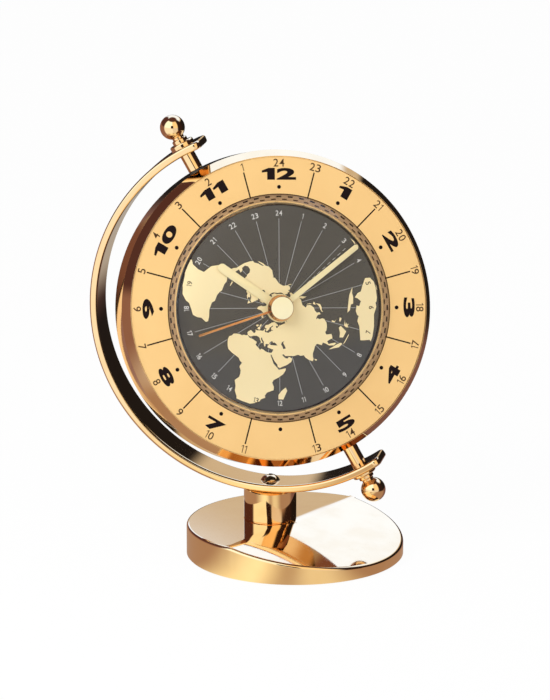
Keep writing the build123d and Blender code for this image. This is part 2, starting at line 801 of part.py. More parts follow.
def make_minute_hand():
    return baton(minute_hand_length, minute_hand_width, minute_hand_thickness, minute_back, minute_eye_radius,
                 minute_arbor_radius, minute_hand_angle)


def make_minute_arbor():
    inner = second_arbor_radius + shaft_clearance
    return drum_place * tube(minute_arbor_radius, inner, minute_bore_end + running_gap, minute_front)


def make_second_hand():
    return baton(second_hand_length, second_hand_width, second_hand_thickness, second_back, second_eye_radius,
                 second_arbor_radius, second_hand_angle)


def make_second_arbor():
    return drum_place * rod(second_arbor_radius, second_bore_end + running_gap, second_front)


def make_hub_cap():
    top = second_front + cap_height
    outline = [(0, second_front), (cap_foot_radius, second_front), (cap_foot_radius, second_front + cap_edge_radius)]
    outline += [(cap_top_radius, top - cap_edge_radius), (cap_top_radius - cap_edge_radius, top), (0, top)]
    return drum_place * turned(outline)


# World disc and its gears

def involute(angle):
    return math.tan(angle) - angle


def gear_outline(teeth, tip_radius, root_radius, thickness_change, phase):
    # Closed outline of a spur gear whose flanks are involutes; a tooth's middle lies at angle phase
    pitch_radius = gear_module * teeth / 2
    pressure = math.radians(pressure_angle)
    base_circle = pitch_radius * math.cos(pressure)
    half_tooth = (math.pi * gear_module / 2 + thickness_change) / 2 / pitch_radius
    low = max(root_radius, base_circle)
    flank_steps = 3
    radii = [low + (tip_radius - low) * k / flank_steps for k in range(flank_steps + 1)]
    half_angles = []
    for r in radii:
        local = math.acos(min(1.0, base_circle / r))
        half_angles.append(half_tooth + involute(pressure) - involute(local))
    if root_radius < low:
        radii = [root_radius] + radii
        half_angles = [half_angles[0]] + half_angles
    points = []
    for k in range(teeth):
        middle = math.radians(phase) + 2 * math.pi * k / teeth
        for r, a in zip(radii, half_angles):
            points.append((r * math.cos(middle - a), r * math.sin(middle - a)))
        for r, a in zip(reversed(radii), reversed(half_angles)):
            points.append((r * math.cos(middle + a), r * math.sin(middle + a)))
    return make_face(Polyline(*points, close=True))


def external_gear(teeth, tip_share, phase):
    pitch_radius = gear_module * teeth / 2
    tip = pitch_radius + tip_share * gear_module
    root = pitch_radius - tooth_root_share * gear_module
    return gear_outline(teeth, tip, root, -gear_backlash, phase)


def make_hour_pinion():
    outline = external_gear(hour_pinion_teeth, hour_tip_share, idler_angle) - Circle(hour_pipe_radius)
    return drum_place * (Pos(0, 0, gear_back) * extrude(outline, gear_thickness))


def make_idler_gear():
    gap_phase = idler_angle + 180 / idler_teeth
    outline = external_gear(idler_teeth, idler_tip_share, gap_phase) - Circle(idler_stud_radius + shaft_clearance)
    x, y = polar_place(idler_distance(), idler_angle)
    return drum_place * (Pos(x, y, gear_back) * extrude(outline, gear_thickness))


def make_disc_ring_gear():
    pitch_radius = gear_module * ring_gear_teeth / 2
    root = pitch_radius + tooth_root_share * gear_module
    tip = pitch_radius - ring_tip_share * gear_module
    gap_phase = idler_angle + 180 / ring_gear_teeth
    spaces = gear_outline(ring_gear_teeth, root, tip, gear_backlash, gap_phase)
    outline = Circle(root + ring_gear_rim) - spaces
    return drum_place * (Pos(0, 0, gear_back) * extrude(outline, disc_back - gear_back))


def make_world_disc():
    return drum_place * tube(disc_radius, disc_bush_radius, disc_back, disc_front)


def make_disc_bush():
    inner = hour_pipe_radius + shaft_clearance
    return drum_place * tube(disc_bush_radius, inner, disc_bush_back, disc_bush_front)


def make_parts():
    parts = {
        "base": make_base(),
        "base_pad": make_base_pad(),
        "base_screw": make_base_screw(),
        "post": make_post(),
        "arm": make_arm(),
        "arm_screw": make_arm_screw(),
        "case_ring": make_case_ring(),
        "dial_ring": make_dial_ring(),
        "crystal": make_crystal(),
        "dial_plate": make_dial_plate(),
        "plate_screws": make_plate_screws(),
        "idler_stud": make_idler_stud(),
        "centre_nut": make_centre_nut(),
        "movement_case": make_movement_case(),
        "battery": make_battery(),
        "battery_contact_positive": make_positive_contact(),
        "battery_contact_negative": make_negative_contact(),
        "back_cover": make_back_cover(),
        "case_screws": make_case_screws(),
        "battery_door": make_battery_door(),
        "set_knob": make_set_knob(),
        "hour_hand": make_hour_hand(),
        "hour_pipe": make_hour_pipe(),
        "hour_pinion": make_hour_pinion(),
        "minute_hand": make_minute_hand(),
        "minute_arbor": make_minute_arbor(),
        "second_hand": make_second_hand(),
        "second_arbor": make_second_arbor(),
        "hub_cap": make_hub_cap(),
        "idler_gear": make_idler_gear(),
        "disc_ring_gear": make_disc_ring_gear(),
        "world_disc": make_world_disc(),
        "disc_bush": make_disc_bush(),
    }
    for name, side in (("upper", 1), ("lower", -1)):
        parts[name + "_knob"] = make_knob(side)
        parts[name + "_collar"] = make_collar(side)
        parts[name + "_pivot_pin"] = make_pivot_pin(side)
        parts[name + "_friction_washer"] = make_friction_washer(side)
        parts[name + "_bush"] = make_bush(side)
    return parts


os.makedirs("parts", exist_ok=True)
for node, shape in make_parts().items():
    export_step(shape, "parts/" + node + ".step")
    print(node, round(shape.volume, 2))
print("drum centre", drum_centre.X, drum_centre.Y, drum_centre.Z)
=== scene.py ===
# %% [markdown]
# # A world time clock in gold
# The clock is a round drum that leans in a C-shaped arm, on a short post and a round base.
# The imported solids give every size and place. This lesson dresses them: turned pieces with soft
# edges, figures and a map as thin prints, and finishes made of nodes.

# %% Load the frame
import json
import math

import bpy
from mathutils import Matrix, Vector

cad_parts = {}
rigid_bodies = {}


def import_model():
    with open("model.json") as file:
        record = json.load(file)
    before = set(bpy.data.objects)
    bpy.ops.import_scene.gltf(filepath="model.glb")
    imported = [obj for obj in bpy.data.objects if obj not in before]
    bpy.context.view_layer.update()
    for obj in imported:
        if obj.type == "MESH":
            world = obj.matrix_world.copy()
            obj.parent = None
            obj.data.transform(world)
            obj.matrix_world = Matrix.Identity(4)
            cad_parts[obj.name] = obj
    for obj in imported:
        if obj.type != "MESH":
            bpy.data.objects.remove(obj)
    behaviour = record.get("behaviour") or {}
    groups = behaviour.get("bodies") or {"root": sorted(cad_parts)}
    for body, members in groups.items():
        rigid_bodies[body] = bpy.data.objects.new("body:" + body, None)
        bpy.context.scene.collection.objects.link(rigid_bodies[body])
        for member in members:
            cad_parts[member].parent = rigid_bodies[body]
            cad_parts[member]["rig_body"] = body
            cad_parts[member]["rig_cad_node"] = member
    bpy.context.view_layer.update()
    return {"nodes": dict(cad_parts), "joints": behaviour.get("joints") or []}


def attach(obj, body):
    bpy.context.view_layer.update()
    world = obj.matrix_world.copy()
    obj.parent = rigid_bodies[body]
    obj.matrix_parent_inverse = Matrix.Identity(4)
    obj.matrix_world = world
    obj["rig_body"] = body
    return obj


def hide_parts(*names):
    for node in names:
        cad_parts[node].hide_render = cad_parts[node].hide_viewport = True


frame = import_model()
MM = 0.001
joints = {joint["name"]: joint for joint in frame["joints"]}

# %% [markdown]
# ## Two places to work in
# Every piece of the drum is round about the dial's normal, and every piece of a pivot is round about
# the leaning axis. So each is modelled upright at the origin, where the numbers stay simple, and then
# moved there in one step. The joints of the frame say where the two places are.

# %% Places of the drum and of the two pivots
def standing(origin, up, across):
    """The matrix that takes +Z to up and +X to across, and the origin to origin."""
    side = up.cross(across)
    turn = Matrix((across, side, up)).transposed().to_4x4()
    return Matrix.Translation(origin) @ turn


drum_centre = Vector(joints["minute_turn"]["pos_m"])
dial_normal = -Vector(joints["minute_turn"]["axis"]).normalized()
twelve_way = -Vector(joints["door_slide"]["axis"]).normalized()
drum_place = standing(drum_centre, dial_normal, twelve_way.cross(dial_normal))
pivot_up = Vector(joints["drum_turn"]["axis"]).normalized()
pivot_places = {"upper": standing(drum_centre, pivot_up, dial_normal),
                "lower": standing(drum_centre, -pivot_up, dial_normal)}
print("dial faces", [round(c, 3) for c in dial_normal])


# %% [markdown]
# ## Measuring the solids
# A dressed piece has to sit exactly where its solid is. These helpers read a solid's mesh in either
# place and give its outer and inner radius and its lowest and highest level, in millimetres.

# %% Measure a node in a place
def measure(node, place):
    """Outer radius, inner radius, low and high of a node about a place's Z, in millimetres."""
    back = place.inverted()
    points = [back @ v.co for v in frame["nodes"][node].data.vertices]
    radii = [math.hypot(p.x, p.y) / MM for p in points]
    heights = [p.z / MM for p in points]
    return max(radii), min(radii), min(heights), max(heights)


case_radius, shelf_radius, case_back, case_front = measure("case_ring", drum_place)
dial_radius, dial_opening, dial_back, dial_top = measure("dial_ring", drum_place)
crystal_radius, _, crystal_foot, crystal_top = measure("crystal", drum_place)
disc_radius, _, _, disc_top = measure("world_disc", drum_place)
print("case", round(case_radius, 2), "dial", round(dial_radius, 2), "crystal", round(crystal_radius, 2))


# %% [markdown]
# ## A lathe made of spin
# Turned metal is an outline swept round an axis. One vertex is extruded from point to point, and spin
# carries that line round. Corners are rounded in the outline itself, because light that runs along
# a small round edge is what makes polished metal read as metal.

# %% Outline with rounded corners
def rounded(outline, steps=5):
    """Points of a closed outline of (radius, height, corner radius), in millimetres."""
    points = []
    for i, (r, z, corner) in enumerate(outline):
        here = Vector((r, z))
        if not corner:
            points.append(here)
            continue
        before = (Vector(outline[i - 1][:2]) - here).normalized()
        after = (Vector(outline[(i + 1) % len(outline)][:2]) - here).normalized()
        half = before.angle(after) / 2
        middle = here + (before + after).normalized() * (corner / math.sin(half))
        start = here + before * (corner / math.tan(half)) - middle
        end = here + after * (corner / math.tan(half)) - middle
        sweep = math.atan2(start.cross(end), start.dot(end))
        for k in range(steps + 1):
            angle = sweep * k / steps
            c, s = math.cos(angle), math.sin(angle)
            points.append(middle + Vector((start.x * c - start.y * s, start.x * s + start.y * c)))
    return points


# %% Start a piece, and finish it
def only(piece):
    """Selects this piece alone and makes it the active one."""
    bpy.ops.object.select_all(action="DESELECT")
    piece.select_set(True)
    bpy.context.view_layer.objects.active = piece


def add(name, primitive, **sizes):
    """A new primitive under its name. Most of them are cut, bent or spun later."""
    bpy.ops.object.select_all(action="DESELECT")
    primitive(**sizes)
    bpy.context.object.name = name
    return bpy.context.object


def start_point(name):
    """A new object in edit mode that is one selected vertex at the origin."""
    piece = add(name, bpy.ops.mesh.primitive_plane_add, size=MM)
    bpy.ops.object.mode_set(mode="EDIT")
    bpy.ops.mesh.select_mode(type="VERT")
    bpy.ops.mesh.select_all(action="SELECT")
    bpy.ops.mesh.merge(type="CENTER")
    return piece


def close_up(smooth_angle=35):
    """Merges doubles, turns the faces outwards, leaves edit mode and shades by angle."""
    bpy.ops.mesh.select_all(action="SELECT")
    bpy.ops.mesh.remove_doubles(threshold=MM * 0.001)
    bpy.ops.mesh.normals_make_consistent(inside=False)
    bpy.ops.object.mode_set(mode="OBJECT")
    bpy.ops.object.shade_smooth_by_angle(angle=math.radians(smooth_angle))


def even_out(piece):
    """Wide faces keep their own direction, so that only the narrow rounds between them bend light."""
    only(piece)
    even = piece.modifiers.new("even", "WEIGHTED_NORMAL")
    even.keep_sharp = True
    even.weight = 100
    even.thresh = 1e-7
    bpy.ops.object.modifier_apply(modifier=even.name)


def pick_edges(piece, wanted):
    """Enters edit mode with some edges selected. wanted takes an edge's ends and its faces' normals."""
    around = {}
    for side in piece.data.polygons:
        for key in side.edge_keys:
            around.setdefault(key, []).append(side.normal.copy())
    only(piece)
    bpy.ops.object.mode_set(mode="EDIT")
    bpy.ops.mesh.select_mode(type="EDGE")
    bpy.ops.mesh.select_all(action="DESELECT")
    bpy.ops.object.mode_set(mode="OBJECT")
    for edge in piece.data.edges:
        a, b = (piece.data.vertices[i].co / MM for i in edge.vertices)
        edge.select = edge.key in around and bool(wanted(a, b, around[edge.key]))
    bpy.ops.object.mode_set(mode="EDIT")


# %% Lathe
def lathe(name, points, turns=192):
    """Spins a closed outline of (radius, height) points round Z, in millimetres."""
    piece = start_point(name)
    path = list(points) + [points[0]]
    bpy.ops.transform.translate(value=(path[0][0] * MM, 0, path[0][1] * MM))
    for a, b in zip(path, path[1:]):
        step = ((b[0] - a[0]) * MM, 0, (b[1] - a[1]) * MM)
        bpy.ops.mesh.extrude_region_move(TRANSFORM_OT_translate={"value": step})
    bpy.ops.mesh.select_all(action="SELECT")
    bpy.ops.mesh.spin(steps=turns, angle=2 * math.pi, center=(0, 0, 0), axis=(0, 0, 1))
    close_up()
    even_out(piece)
    return piece


def settle(piece, place, body, slot, *nodes):
    """Puts a piece's place in its mesh, hides the solids that it stands for, and lets it ride."""
    piece.data.transform(place)
    piece.data.update()
    if nodes:
        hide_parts(*nodes)
    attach(piece, body)
    print(piece.name, len(piece.data.polygons), "faces")


# %% [markdown]
# ## Arithmetic on sockets
# A finish is easier to read as an expression than as boxes and wires. A Wire wraps one output socket
# and turns +, - and * into Math nodes. A Finish owns one material and adds any other node by
# its type, its settings and what its sockets take.

# %% Wire and Finish
class Wire:
    """An output socket that adds Math nodes when it is used in an expression."""

    def __init__(self, finish, socket):
        self.finish, self.socket = finish, socket

    def math(self, operation, *others):
        settings = {"operation": operation}
        return self.finish.node("ShaderNodeMath", settings, dict(enumerate((self,) + others)))

    def __add__(self, other):
        return self.math("ADD", other)

    def __sub__(self, other):
        return self.math("SUBTRACT", other)

    def __rsub__(self, other):
        return self.finish.node("ShaderNodeMath", {"operation": "SUBTRACT"}, {0: other, 1: self})

    def __mul__(self, other):
        return self.math("MULTIPLY", other)

    __radd__, __rmul__ = __add__, __mul__

    def above(self, low, high):
        """0 below low, 1 above high, and a soft ramp between."""
        settings = {"interpolation_type": "SMOOTHSTEP"}
        return self.finish.node("ShaderNodeMapRange", settings,
                                {"Value": self, "From Min": low, "From Max": high})


class Finish:
    """One material, or the world, and the way to add nodes to it."""

    def __init__(self, name, owner=None):
        self.owner = owner or bpy.data.materials.new(name)
        self.owner.use_nodes = True
        self.tree = self.owner.node_tree
        self.tree.nodes.clear()

    def node(self, kind, settings=None, sockets=None, out=0):
        made = self.tree.nodes.new(kind)
        for key, value in (settings or {}).items():
            setattr(made, key, value)
        for key, value in (sockets or {}).items():
            if isinstance(value, Wire):
                self.tree.links.new(value.socket, made.inputs[key])
            else:
                made.inputs[key].default_value = value
        return Wire(self, made.outputs[out]) if made.outputs else None

    def blend(self, factor, a, b):
        """A colour between a and b."""
        return self.node("ShaderNodeMix", {"data_type": "RGBA"}, {0: factor, 6: a, 7: b}, 2)

    def noise(self, scale, detail=2.0, stretch=(1, 1, 1)):
        """Noise on Object coordinates in millimetres, which may be stretched along an axis."""
        where = self.node("ShaderNodeTexCoord", out=3)
        size = [s / MM for s in stretch]
        where = self.node("ShaderNodeMapping", None, {"Vector": where, "Scale": size})
        return self.node("ShaderNodeTexNoise", None, {"Vector": where, "Scale": scale, "Detail": detail})

    def bump(self, height, strength, distance):
        return self.node("ShaderNodeBump", None,
                         {"Strength": strength, "Distance": distance * MM, "Height": height})

    def show(self, shader, output="ShaderNodeOutputMaterial"):
        """Ends the tree in this shader."""
        self.node(output, None, {"Surface": shader})
        return self.owner

    def surface(self, light, deep, between, **sockets):
        """A Principled surface between two screen colours. Socket names have _ for spaces."""
        named = {key.replace("_", " "): value for key, value in sockets.items()}
        named["Base Color"] = self.blend(between, colour(*light), colour(*deep))
        return self.show(self.node("ShaderNodeBsdfPrincipled", None, named))


def colour(*screen):
    """A colour as 0-255 screen values, turned to the linear values that shaders use."""
    linear = [((c / 255 + 0.055) / 1.055) ** 2.4 if c > 10 else c / 255 / 12.92 for c in screen]
    return (*linear, 1.0)


def dress(material, *pieces):
    for piece in pieces:
        piece.data.materials.clear()
        piece.data.materials.append(material)


# %% [markdown]
# ## Polished gold
# Gold plate on turned brass is a mirror with a warm tint. What gives it away as metal and not as paint
# is in the small: a faint haze where it has been handled, a trace of polishing lines, and a tint that
# is a little redder in thin places. The tint, the roughness and a very low bump carry these.

# %% Polished gold finish
def polished(name, light, deep, smooth=0.03, haze=0.03):
    finish = Finish(name)
    cloud = finish.noise(0.09, 3.0)
    lines = finish.noise(3.0, stretch=(1, 1, 0.08))
    rough = cloud.above(0.45, 0.8) * haze + smooth + lines * 0.02
    return finish.surface(light, deep, cloud.above(0.35, 0.75), Metallic=1.0, Roughness=rough,
                          Normal=finish.bump(lines, 0.02, 0.02))


gold = polished("gold_plate", (248, 215, 168), (244, 208, 158))
print("gold ready")

# %% [markdown]
# ## Satin gold for the dial and pale gold for the map
# The dial is plated too, but blasted fine before, so it glows instead of mirroring. Its grain is finer
# than a tenth of a millimetre, so it shows as softness and as a very slight sparkle. The hands are
# flat plated strips, and the lands of the map are printed in a metallic ink.

# %% Satin finishes
def satin(name, light, deep, rough=0.34, metal=0.85, grain=9.0):
    finish = Finish(name)
    cloud, speck = finish.noise(0.05), finish.noise(grain)
    between = cloud.above(0.3, 0.8) * 0.6 + speck * 0.2
    return finish.surface(light, deep, between, Metallic=metal, Roughness=speck * 0.12 + rough,
                          Normal=finish.bump(speck, 0.12, 0.03))


dial_gold = satin("dial_satin", (243, 205, 143), (237, 196, 133), metal=0.4, grain=2.0)
hand_gold = satin("hand_gold", (252, 238, 190), (246, 228, 172), rough=0.3, metal=0.2)
map_gold = satin("map_ink_gold", (255, 237, 188), (251, 229, 177), rough=0.45, metal=0.1)
cap_gold = satin("cap_gold", (255, 248, 214), (252, 240, 194), rough=0.25, metal=0.2)
copper = polished("copper_lacquer", (216, 162, 114), (188, 126, 82), smooth=0.18)
print("satin and copper ready")

# %% [markdown]
# ## Inks, disc and plastics
# The world disc is painted charcoal with a silk finish. The figures are printed, so their ink lies on
# the gold as a thin layer with soft gloss. The hidden side is moulded plastic with a fine grain.

# %% Painted and moulded finishes
def coated(name, light, deep, rough=0.5, grain=4.0, bump=0.1, metal=0.0, sheen=0.5):
    finish = Finish(name)
    cloud, speck = finish.noise(0.12, 3.0), finish.noise(grain, 3.0)
    relief = {"Normal": finish.bump(speck, bump, 0.05)} if bump else {}
    return finish.surface(light, deep, cloud * 0.6 + speck * 0.4, Metallic=metal,
                          Roughness=speck * 0.15 + rough, Specular_IOR_Level=sheen, **relief)


def ink(name, light, deep):
    return coated(name, light, deep, bump=0.0, sheen=0.1)


ink_black = ink("ink_black", (30, 18, 20), (20, 12, 14))
ink_brown = ink("ink_brown", (82, 58, 38), (66, 46, 32))
ink_shade = ink("ink_umber", (50, 36, 34), (38, 28, 28))
ink_grey = ink("ink_grey", (190, 190, 190), (174, 174, 176))
ink_white = ink("ink_white", (222, 220, 216), (206, 204, 200))
ink_tan = coated("ink_tan", (194, 156, 112), (160, 124, 88), rough=0.4, bump=0.0, grain=2.0)
charcoal = coated("charcoal_paint", (83, 80, 77), (75, 72, 70), 0.55, 0.4, bump=0.0, sheen=0.15)
black_plastic = coated("black_plastic", (58, 58, 60), (46, 46, 48), rough=0.42, grain=6.0, bump=0.35)
white_plastic = coated("white_plastic", (232, 229, 219), (220, 216, 205), rough=0.4)
felt_cloth = coated("felt", (36, 35, 35), (20, 20, 20), rough=0.8, grain=14.0, bump=0.9)
cell_sleeve = coated("cell_sleeve", (96, 99, 105), (84, 86, 92), rough=0.35, metal=0.4)
steel = polished("nickel_steel", (205, 203, 198), (178, 176, 172), smooth=0.2, haze=0.15)
aluminium = satin("mill_aluminium", (205, 206, 208), (190, 191, 193), rough=0.4, metal=1.0)
brass = polished("turned_brass", (228, 196, 120), (205, 168, 92), smooth=0.16, haze=0.12)
print("materials:", len(bpy.data.materials))


# %% [markdown]
# ## Clear moulding
# The crystal is one thin clear moulding. Full refraction would cost much noise for a shell this thin, so
# it is see-through with a clear coat of reflection instead: the Fresnel term makes that faint where
# one looks straight in and strong along the bevel. Light from the lamps passes to the dial.

# %% Clear finish
def clear(name):
    finish = Finish(name)
    scuff = finish.noise(0.4)
    gloss = finish.node("ShaderNodeBsdfPrincipled", None,
                        {"Base Color": (0.95, 0.97, 1, 1), "Metallic": 1.0,
                         "Roughness": scuff.above(0.6, 0.9) * 0.02 + 0.01})
    through = finish.node("ShaderNodeBsdfTransparent")
    edge = finish.node("ShaderNodeFresnel", None, {"IOR": 1.46})
    return finish.show(finish.node("ShaderNodeMixShader", None, {0: edge * 0.4, 1: through, 2: gloss}))


clear_moulding = clear("clear_moulding")

# %% Dress the solids that stay as they are
plain_finishes = {
    felt_cloth: ["base_pad"],
    steel: ["base_screw", "plate_screws", "second_arbor", "battery_contact_positive",
            "battery_contact_negative"],
    brass: ["centre_nut", "idler_stud", "hour_pipe", "minute_arbor"],
    aluminium: ["dial_plate"],
    white_plastic: ["hour_pinion", "idler_gear", "disc_ring_gear", "disc_bush"],
    black_plastic: ["movement_case", "upper_bush", "lower_bush", "upper_friction_washer",
                    "lower_friction_washer"],
    cell_sleeve: ["battery"],
    charcoal: ["world_disc"],
}
for material, names in plain_finishes.items():
    dress(material, *[frame["nodes"][name] for name in names])
print("solids dressed:", sum(len(names) for names in plain_finishes.values()))

# %% [markdown]
# ## Smooth copies
# A solid comes as loose triangles with flat shading. Where its shape is right and only the shading is too
# plain for polish, a copy is merged, so that neighbours share their corners, and shaded smooth up to
# an angle. The copy then stands for the solid.

# %% Smooth copies of solids
def copy_of(piece):
    """A second object with its own mesh."""
    twin = piece.copy()
    twin.data = piece.data.copy()
    bpy.context.collection.objects.link(twin)
    return twin


def smooth_copy(name, node, body, material, slot, angle=28):
    piece = copy_of(frame["nodes"][node])
    piece.name = name
    piece.parent = None
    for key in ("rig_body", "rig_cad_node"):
        if key in piece:
            del piece[key]
    only(piece)
    bpy.ops.object.mode_set(mode="EDIT")
    close_up(angle)
    dress(material, piece)
    settle(piece, Matrix.Identity(4), body, slot, node)


smooth_copy("bow_screw", "arm_screw", "stand", gold, "gold_metal")
smooth_copy("rear_cover", "back_cover", "drum", black_plastic, "black_plastic")
smooth_copy("rear_screws", "case_screws", "drum", steel, "steel")
smooth_copy("cell_door", "battery_door", "door", black_plastic, "black_plastic")
smooth_copy("setting_wheel", "set_knob", "setting_knob", black_plastic, "black_plastic")

# %% [markdown]
# ## Base and post
# The base is a turned plate. Its front right is milled away on a slope, so the top has a level part and a
# facet that mirror two different things. The plate is spun, cut by a plane, and then the crease and the
# rim are rounded as two bevels, with doubles merged between them. The wide faces are shaded flat, as
# mirrors. The post is a turned rod whose top is hollowed to the arm's curve, by a formula.

# %% Base
base_radius, base_top, pad_radius, pad_depth = 36.4, 11.0, 33.9, 1.2
foot_low, foot_chamfer = 0.4, 0.4
post_middle, post_radius = Vector((-9.3, 4.2, 0)), 8.85
slope, falls = math.radians(9.8), math.radians(-24.3)
ahead = Vector((math.cos(falls), math.sin(falls), 0))
facet_up = ahead * math.sin(slope) + Vector((0, 0, math.cos(slope)))
crease = post_middle + ahead * (post_radius + 0.2) + Vector((0, 0, base_top))
foot = lathe("foot_plate", [
    (0, pad_depth), (pad_radius, pad_depth), (pad_radius, foot_low), (base_radius - foot_chamfer, foot_low),
    (base_radius, foot_low + foot_chamfer), (base_radius, base_top), (0, base_top)])
bpy.ops.object.mode_set(mode="EDIT")
bpy.ops.mesh.select_all(action="SELECT")
bpy.ops.mesh.bisect(plane_co=crease * MM, plane_no=facet_up, clear_outer=True, use_fill=True)
bpy.ops.mesh.select_all(action="SELECT")
bpy.ops.mesh.dissolve_limited(angle_limit=math.radians(0.5))
bpy.ops.mesh.select_all(action="SELECT")
bpy.ops.mesh.delete_loose()
bpy.ops.object.mode_set(mode="OBJECT")
pick_edges(foot, lambda a, b, sides: len(sides) == 2 and min(s.z for s in sides) > 0.9
           and sides[0].angle(sides[1]) > 0.1)
bpy.ops.mesh.bevel(offset=1.88 * MM, segments=10)
close_up()
pick_edges(foot, lambda a, b, sides: len(sides) == 2 and max(s.z for s in sides) > 0.9
           and abs(min(s.z for s in sides)) < 0.1 and max(a.z, b.z) > 2)
bpy.ops.mesh.bevel(offset=0.9 * MM, segments=6)
close_up()
wide = 1000 * MM ** 2
for side in foot.data.polygons:
    side.use_smooth = side.area < wide
even_out(foot)

# %% Post
def under_arm(x):
    """Height of the arm's underside over a point of the table."""
    return arm_centre.z / MM - math.sqrt(arm_outer ** 2 - (x - arm_centre.x / MM) ** 2)


arm_outer, arm_inner = 62.185, 59.545
arm_centre = Vector((-7.3, 4.2, 83.4954)) * MM
post_top, post_edge = under_arm(arm_centre.x / MM), 0.25
groove, post_low = 0.3, base_top - 0.3
post = lathe("short_post", [
    (0, post_low), (post_radius - groove, post_low), (post_radius - groove, base_top + 0.1),
    (post_radius, base_top + 0.4), (post_radius, post_top - post_edge), (post_radius - post_edge, post_top),
    (0, post_top)])
for vertex in post.data.vertices:
    vertex.co += post_middle * MM
    if vertex.co.z > (post_top - 1) * MM:
        vertex.co.z += (under_arm(vertex.co.x / MM) - post_top) * MM
for piece, node in ((foot, "base"), (post, "post")):
    dress(gold, piece)
    settle(piece, Matrix.Identity(4), "stand", "gold_metal", node)

# %% [markdown]
# ## The case
# One turned ring: a straight wall, a wide polished bevel at the front and a narrow land round the
# dial. Its edges are rounded by a quarter of a millimetre. The lugs inside for the rear cover's screws
# never show, so they stay with the solid.

# %% Case ring
wall_front, shelf_back = 6.6, 5.2
seat_gap = 0.1
bevel_radius = case_radius - 2.25
seat_radius = dial_radius + seat_gap
flange_radius = measure("back_cover", drum_place)[0] + seat_gap
flange_front = case_back + 1.5
bore_radius = case_radius - 4.0
case_outline = [
    (case_radius, case_back, 0.35), (case_radius, wall_front, 0.15), (bevel_radius, case_front, 0.06),
    (seat_radius, case_front, 0.04), (seat_radius, dial_back, 0), (shelf_radius, dial_back, 0),
    (shelf_radius, shelf_back, 0), (bore_radius, shelf_back, 0), (bore_radius, flange_front, 0),
    (flange_radius, flange_front, 0), (flange_radius, case_back, 0.1)]
case = lathe("case_body", rounded(case_outline))
dress(gold, case)
settle(case, drum_place, "drum", "gold_metal", "case_ring")

# %% [markdown]
# ## The dial ring
# A flat gold ring, a millimetre thick. Only its face and the bright edge of its opening show, so the
# outline is a rectangle with soft corners and a shallow seat for the crystal's foot.

# %% Dial ring
crystal_seat = crystal_radius + 0.08
seat_level = dial_top - 0.3
ring_outline = [
    (dial_radius, dial_back, 0), (dial_radius, dial_top, 0.12), (crystal_seat, dial_top, 0.05),
    (crystal_seat, seat_level, 0), (dial_opening, seat_level, 0.1), (dial_opening, dial_back, 0)]
ring = lathe("dial_face", rounded(ring_outline, 3))
dress(dial_gold, ring)
settle(ring, drum_place, "drum", "dial_gold", "dial_ring")

# %% [markdown]
# ## The crystal
# A clear moulding that stands on its foot in the dial ring: a steep bevel, and then a low dome. The
# outline is one closed line, up the outside and down the inside, with each dome a true arc.

# %% Crystal
def dome(radius, edge, top, steps=24):
    """Arc points from a dome's edge to its middle."""
    rise = top - edge
    ball = (radius ** 2 + rise ** 2) / (2 * rise)
    half = math.asin(radius / ball)
    angles = [half * (1 - k / steps) for k in range(steps + 1)]
    return [(ball * math.sin(a), top - ball + ball * math.cos(a)) for a in angles]


print_height = 0.02
crystal_wall = 1.2
knee_radius = crystal_radius - 2.5
foot_radius = crystal_radius - 2.3
edge, knee = dial_top + 0.55, dial_top + 2.9
foot = crystal_foot + 2 * print_height
outside = rounded([(foot_radius, foot, 0), (crystal_radius, foot, 0), (crystal_radius, edge, 0.15),
                   (knee_radius, knee, 0.12), (0, crystal_top, 0)], 3)[1:-1]
outside += dome(knee_radius - 0.1, knee + 0.02, crystal_top)
inside = dome(foot_radius - 1.0, knee - 1.0, crystal_top - crystal_wall)
lens_points = outside + list(reversed(inside)) + [(foot_radius, crystal_foot + 1.0), (foot_radius, foot)]
crystal = lathe("crystal_lens", lens_points)
dress(clear_moulding, crystal)
settle(crystal, drum_place, "drum", "crystal_clear", "crystal")


# %% [markdown]
# ## Thin prints
# Ink on metal has almost no height, but a print without any would flicker against its ground. So each
# print is a plate two hundredths of a millimetre thick. A mark is made once at twelve o'clock, and its
# copies are turned round the dial and joined to one piece.

# %% Marks round a dial
def clockwise(angle, radius=0.0, upright=0.0):
    """Turns a mark by a clock angle in degrees, after it is moved out by a radius in millimetres."""
    turn = Matrix.Rotation(-math.radians(angle), 4, "Z")
    return turn @ Matrix.Translation((0, radius * MM, 0)) @ Matrix.Rotation(upright, 4, "Z")


def join(name, parts):
    """Joins the objects to one piece."""
    bpy.ops.object.select_all(action="DESELECT")
    for part in parts:
        part.select_set(True)
    bpy.context.view_layer.objects.active = parts[0]
    if len(parts) > 1:
        bpy.ops.object.join()
    parts[0].name = name
    return parts[0]


def all_round(name, mark, angles):
    """Copies a mark to each clock angle and joins the copies."""
    copies = [copy_of(mark) for _ in angles[1:]] + [mark]
    for twin, angle in zip(copies, angles):
        twin.data.transform(clockwise(angle))
    return join(name, copies)


def plate(name, width, length, radius, level, thick=print_height):
    """A thin bar from a radius outwards, on a level, in millimetres."""
    bar = add(name, bpy.ops.mesh.primitive_cube_add, size=MM)
    bar.data.transform(Matrix.Translation((0, (radius + length / 2) * MM, (level + thick / 2) * MM))
                       @ Matrix.Diagonal((width, length, thick, 1)))
    return bar


def spot(name, radius, out, level):
    """A thin round spot, moved out by a radius."""
    dot = add(name, bpy.ops.mesh.primitive_cylinder_add, vertices=32, radius=radius * MM,
              depth=print_height * MM)
    dot.data.transform(Matrix.Translation((0, out * MM, (level + print_height / 2) * MM)))
    return dot


def lay(prints, body, slot):
    """Inks the prints and lets them ride on a body of the drum."""
    for piece, colouring in prints:
        dress(colouring, piece)
        settle(piece, drum_place, body, slot)


